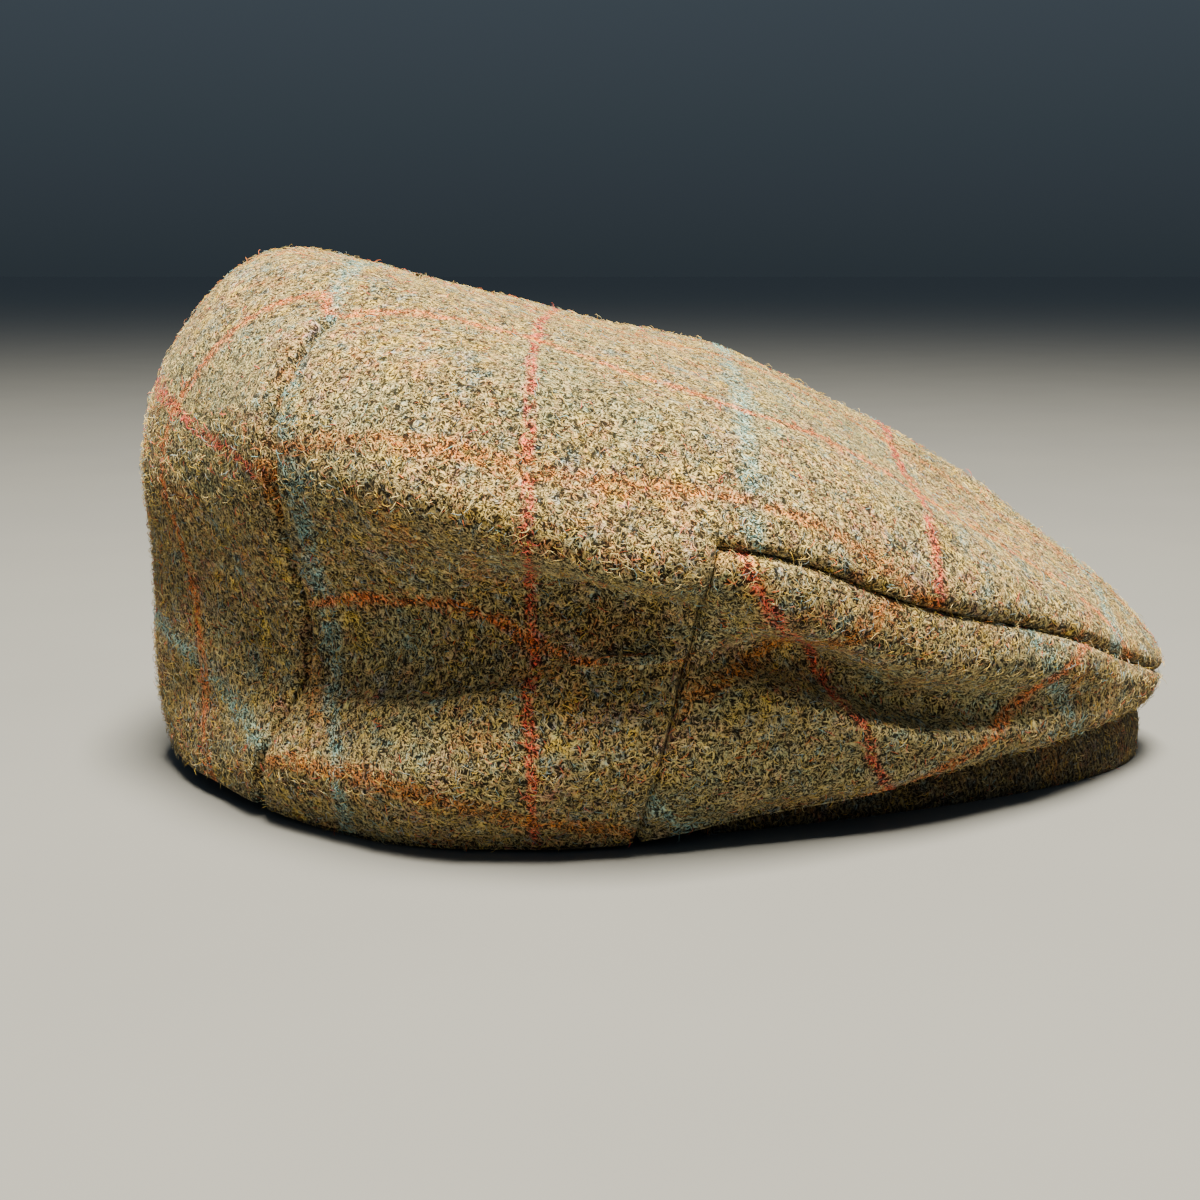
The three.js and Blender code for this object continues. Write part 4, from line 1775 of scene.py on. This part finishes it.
@dataclass
class Nap:
    """The loose fibres that stand off one stretch of the milled cloth.

    Attributes:
        seed: The seed of the fibres' draws.
        count: How many fibres.
        thickness: Their thickness at the root, in millimetres.
        shortest: The length of the shortest.
        longest: The length of the longest.
        lift: How far most of them stand off the cloth.
        stray_share: The share that strays further.
        stray_lift: How far those stand off.
        sunk: How deep their roots are in the cloth.
        lift_spread: The least and the most that a fibre lifts, as shares of that.
        bend: The spread of the angles that they bend by, in radians.
        wander: The spread of the further turn of each third of a fibre.
        girth_spread: The thinnest and the thickest fibre, as shares of the thickness.
        climb: How much each third of a fibre climbs, as a share of its lift.
        taper: Their thickness at the start of each third, as a share.
        sides: How many faces round a fibre.
        finish: Their finish.
    """

    seed: int
    count: int
    thickness: float = 0.14
    shortest: float = 1.4
    longest: float = 3.8
    lift: float = 0.42
    stray_share: float = 0.06
    stray_lift: float = 0.9
    sunk: float = 0.15
    on_line: float = 0.55
    lift_spread: tuple[float, float] = (0.3, 1.5)
    bend: float = 1.1
    wander: float = 0.35
    girth_spread: tuple[float, float] = (0.7, 1.25)
    climb: tuple[float, ...] = (0.75, 1.0, 0.7)
    taper: tuple[float, ...] = (1.0, 0.95, 0.75)
    sides: int = 3
    finish: LooseFibreFinish = field(default_factory=LooseFibreFinish)

    def roots(self, surface: Surface, keep: Array,
              draw: np.random.Generator) -> tuple[Array, Array, Array]:
        """Chooses where the fibres grow.

        Args:
            surface: The cloth.
            keep: Which of its outer faces they may grow on.
            draw: The source of chance.

        Returns:
            Their roots, the outward unit vectors there, and the flat coordinates.
        """
        ring = surface.points[surface.faces[: surface.outer][keep]]
        flat = surface.flat[: surface.outer][keep]
        cross = surface.facing()[keep]
        area = np.linalg.norm(cross, axis=1)
        face = draw.choice(len(ring), size=self.count, p=area / area.sum())
        u, v = draw.random((2, self.count, 1))

        def inside(corners: Array) -> Array:
            """A point inside each chosen face.

            Args:
                corners: Values at the faces' corners.

            Returns:
                The values at the points.
            """
            low = corners[:, 0] * (1 - u) + corners[:, 1] * u
            high = corners[:, 3] * (1 - u) + corners[:, 2] * u
            return low * (1 - v) + high * v

        return inside(ring[face]), unit(cross[face]), inside(flat[face])

    def yarns(self, flat: Array, draw: np.random.Generator) -> Array:
        """Chooses the yarn of each fibre, after the line that it grows on.

        Args:
            flat: The roots' flat coordinates.
            draw: The source of chance.

        Returns:
            The numbers of the yarns.
        """
        shares = np.array([MIXTURE[yarn] for yarn in YARNS])
        chosen = draw.choice(len(YARNS), size=self.count, p=shares / shares.sum())
        for line in LINES:
            dyed = line.cover(flat[:, 0], flat[:, 1]) & (draw.random(self.count) < self.on_line)
            chosen[dyed] = YARNS.index(line.yarn)
        return chosen

    def grow(self, name: str, slot: str, surface: Surface, keep: Array | None = None) -> None:
        """Grows the fibres on a cloth and joins them into one piece.

        Args:
            name: The piece's name.
            slot: The name of a material slot, which it passes on to join.
            surface: The cloth.
            keep: Which of its outer faces they may grow on, if not on all.
        """
        draw = np.random.default_rng(self.seed)
        keep = np.ones(surface.outer, bool) if keep is None else keep
        column = (self.count, 1)
        root, out, flat = self.roots(surface, keep, draw)
        yarn = self.yarns(flat, draw)
        first = unit(np.cross(out, draw.normal(size=(self.count, 3))))
        second = np.cross(out, first)
        length = draw.uniform(self.shortest, self.longest, column)
        stray = draw.random(column) < self.stray_share
        lift = np.where(stray, self.stray_lift, self.lift) * draw.uniform(*self.lift_spread, column)
        bend = draw.normal(0, self.bend, column)
        path = [root - out * self.sunk]
        angle = np.zeros(column)
        for height in self.climb:
            angle = angle + bend / len(self.climb) + draw.normal(0, self.wander, column)
            way = first * np.cos(angle) + second * np.sin(angle)
            last = path[-1] - out * ((path[-1] - root) * out).sum(1, keepdims=True)
            path.append(last + way * length / len(self.climb) + out * lift * height)
        for point in path:
            point[:, 2] = np.maximum(point[:, 2], self.thickness)
        self.join(name, slot, path, yarn, draw)

    def join(self, name: str, slot: str, path: list[Array], yarn: Array,
             draw: np.random.Generator) -> None:
        """Gives the fibres their thickness and joins them.

        Args:
            name: The piece's name.
            slot: The name of a material slot, which it passes on to place.
            path: The fibres' points, from root to tip.
            yarn: The fibres' yarns.
            draw: The source of chance.
        """
        column = (self.count, 1)
        radius = self.thickness / 2 * draw.uniform(*self.girth_spread, column)
        points = np.stack([*self.tube(path, radius), path[-1]], 1)
        quads, tips = self.fibre_faces()
        start = points.shape[1] * np.arange(self.count)[:, None, None]
        faces = [*(quads + start).reshape(-1, 4).tolist(), *(tips + start).reshape(-1, 3).tolist()]
        across = (yarn[:, None] + draw.uniform(0.35, 0.65, column)) / len(YARNS)
        upward = draw.uniform(0.05, 0.95, column)
        spots = np.concatenate([self.spots(across, upward, each.size).ravel()
                                for each in (quads, tips)])
        piece = add_mesh(name, points.reshape(-1, 3), faces, YARN_MAP, spots,
                         self.finish.material())
        place(piece, slot)

    def tube(self, path: list[Array], radius: Array) -> list[Array]:
        """Draws a thin tapered tube round each fibre's path.

        Args:
            path: The fibres' points, from root to tip.
            radius: Their radii at the root.

        Returns:
            The tubes' points, ring by ring, without the tip.
        """
        points = []
        for step, share in enumerate(self.taper):
            along = unit(path[step + 1] - path[max(step - 1, 0)])
            side = unit(np.cross(along, (0.31, 0.52, 0.79)))  # any way that no fibre lies in
            up = np.cross(along, side)
            for corner in range(self.sides):
                angle = 2 * math.pi * corner / self.sides
                way = side * math.cos(angle) + up * math.sin(angle)
                points.append(path[step] + radius * share * way)
        return points

    def fibre_faces(self) -> tuple[Array, Array]:
        """The faces of one fibre.

        Returns:
            Its four-sided faces, and its three-sided ones at the tip and the root.
        """
        n = self.sides
        last = n * (len(self.taper) - 1)
        quads = [(n * step + corner, n * step + (corner + 1) % n,
                  n * step + n + (corner + 1) % n, n * step + n + corner)
                 for step in range(len(self.taper) - 1) for corner in range(n)]
        tips = [(last + corner, last + (corner + 1) % n, last + n) for corner in range(n)]
        return np.array(quads), np.array([*tips, (2, 1, 0)])

    @staticmethod
    def spots(across: Array, upward: Array, corners: int) -> Array:
        """The corners' places on the yarn map, in a small patch for each fibre.

        Args:
            across: The middle of each fibre's patch, across the map.
            upward: The middle of its patch, up the map.
            corners: How many corners its faces have.

        Returns:
            The places, fibre by fibre.
        """
        turn = np.arange(corners)[None] * 2.4  # any angle that keeps neighbours apart
        half = 0.008
        return np.stack([across + half * np.cos(turn), upward + half * np.sin(turn)], -1)


@dataclass
class Fleece:
    """The loose fibres of the whole cap, stretch by stretch.

    Attributes:
        clear: How far they keep from the crown's seams and darts, in millimetres.
        on_crown: How many grow on each half of the crown.
        on_side: How many longer ones stand off the upright cloth of each half.
        on_panel: How many grow on each front panel.
        on_peak: How many grow on the peak.
    """

    clear: float = 1.8
    on_crown: int = 12000
    on_side: int = 5200
    on_panel: int = 3600
    on_peak: int = 4500

    def build(self, crown: Crown, top: Surface, panels: list[Surface], peak: Surface) -> None:
        """Grows the fibres.

        Args:
            crown: The crown.
            top: Its surface.
            panels: The front panels' surfaces, the right one first.
            peak: The peak's surface.
        """
        middle = top.points[top.faces[: top.outer]].mean(1)[:, 1]
        open_cloth = crown.open_cells(self.clear)
        upright = open_cloth & top.overhung()
        for seed, side in enumerate(Side, 11):
            name, here = side.name.lower(), (middle < 0) == (side is Side.RIGHT)
            Nap(seed, self.on_crown).grow(f"nap_crown_{name}", "tweed", top, open_cloth & here)
            longer = Nap(seed + 30, self.on_side, longest=3.0, lift=0.75)
            longer.grow(f"nap_side_{name}", "tweed", top, upright & here)
        for seed, (side, panel) in enumerate(zip(Side, panels), 21):
            Nap(seed, self.on_panel).grow(f"nap_panel_{side.name.lower()}", "tweed", panel)
        short = Nap(31, self.on_peak, thickness=0.12, longest=2.6, lift=0.3)
        short.grow("nap_peak", "peak_tweed", peak)


# ------------------------------------------------------------------ studio


@dataclass
class Studio:
    """The camera, the lamp, the room's light and the floor.

    Attributes:
        eye: Where the camera stands, in metres.
        pitch: How far it looks down, in degrees.
        lens: Its focal length on a 36 mm sensor.
        lamp_at: Where the lamp hangs, in metres.
        lamp_aim: The place that it faces.
        lamp_size: The length of its side.
        lamp_power: Its power, in watts.
        lamp_colour: Its colour.
        room_colour: The colour of the room's light.
        room_low: How bright the room is at the horizon.
        room_high: How bright it is overhead.
        overhead: How far up the room is fully bright, as the height of a unit vector.
        floor_size: The length of the floor's side, in metres.
        floor_colours: The two colours that cloud the floor.
        floor_cloud: The size of those clouds, in millimetres.
    """

    eye: tuple[float, float, float] = (-0.0164, -0.420, 0.127)
    pitch: float = 11.66
    lens: float = 48.0
    lamp_at: tuple[float, float, float] = (0.08, -0.33, 1.5)
    lamp_aim: tuple[float, float, float] = (0.0, 0.0, 0.06)
    lamp_size: float = 0.5
    lamp_power: float = 152.0
    lamp_colour: Color = (1.0, 0.91, 0.71)
    room_colour: Color = (0.62, 0.82, 1.0)
    room_low: float = 0.045
    room_high: float = 0.25
    overhead: float = 0.9
    floor_size: float = 60.0
    floor_colours: tuple[Color, Color] = ((0.133, 0.137, 0.140), (0.151, 0.155, 0.158))
    floor_cloud: float = 90.0

    def camera(self) -> None:
        """Sets the camera at the side of the cap."""
        data = bpy.data.cameras.new("camera")
        data.lens = self.lens
        data.sensor_width = 36.0
        data.clip_start = 0.01
        camera = add_to_scene("camera", data)
        camera.location = self.eye
        camera.rotation_euler = (math.radians(90 - self.pitch), 0, 0)
        bpy.context.scene.camera = camera

    def lamp(self) -> None:
        """Hangs one large soft lamp that faces the cap."""
        data = bpy.data.lights.new("key", "AREA")
        data.size = self.lamp_size
        data.energy = self.lamp_power
        data.color = self.lamp_colour
        lamp = add_to_scene("key", data)
        lamp.location = self.lamp_at
        aim = Vector(self.lamp_aim) - Vector(self.lamp_at)
        lamp.rotation_euler = aim.to_track_quat("-Z", "Y").to_euler()

    def room(self) -> None:
        """Sets the light of the room, which is brighter overhead."""
        world = bpy.data.worlds.new("room")
        world.use_nodes = True
        nodes, links = world.node_tree.nodes, world.node_tree.links
        way = nodes.new("ShaderNodeTexCoord")
        split = nodes.new("ShaderNodeSeparateXYZ")
        rise = nodes.new("ShaderNodeMapRange")
        background = nodes["Background"]
        ends = (0.0, self.overhead, self.room_low, self.room_high)
        for socket, value in zip(rise.inputs[1:5], ends):
            socket.default_value = value
        links.new(way.outputs["Generated"], split.inputs[0])
        links.new(split.outputs["Z"], rise.inputs[0])
        links.new(rise.outputs[0], background.inputs[1])
        background.inputs[0].default_value = (*self.room_colour, 1.0)
        bpy.context.scene.world = world

    def floor(self) -> None:
        """Lays a plain pale floor."""
        half = self.floor_size / 2
        data = bpy.data.meshes.new("floor")
        corners = [(-half, -half, 0), (half, -half, 0), (half, half, 0), (-half, half, 0)]
        data.from_pydata(corners, [], [(0, 1, 2, 3)])
        pad = NodePad("pale floor")
        at = pad.add("TexCoord").outputs["Object"]
        cloudy = pad.noise(at, self.floor_cloud, detail=3.0).outputs[0]
        pad.shader({"Base Color": pad.mix(cloudy, *self.floor_colours), "Roughness": 0.85})
        data.materials.append(pad.material)
        add_to_scene("floor", data)

    def build(self) -> None:
        """Sets up the studio."""
        self.camera()
        self.lamp()
        self.room()
        self.floor()


def main() -> None:
    """Builds the cap and its studio."""
    logging.basicConfig(level=logging.INFO, format="%(message)s")
    Studio().build()
    tweed = TweedFinish("tweed cloth")
    # the peak's cloth is painted at half lightness: painted shade for the shadow under the crown's
    # front edge
    covering = TweedFinish("peak tweed", light=0.5, rib=1.0, check=0.35)
    cloth = Cloth(CapShape())
    crown = Crown(cloth, tweed)
    top = crown.build()
    panels = FrontPanels(cloth, tweed).build()
    peak = Peak(covering).build()
    Fleece().build(crown, top, panels, peak)


if __name__ == "__main__":
    main()
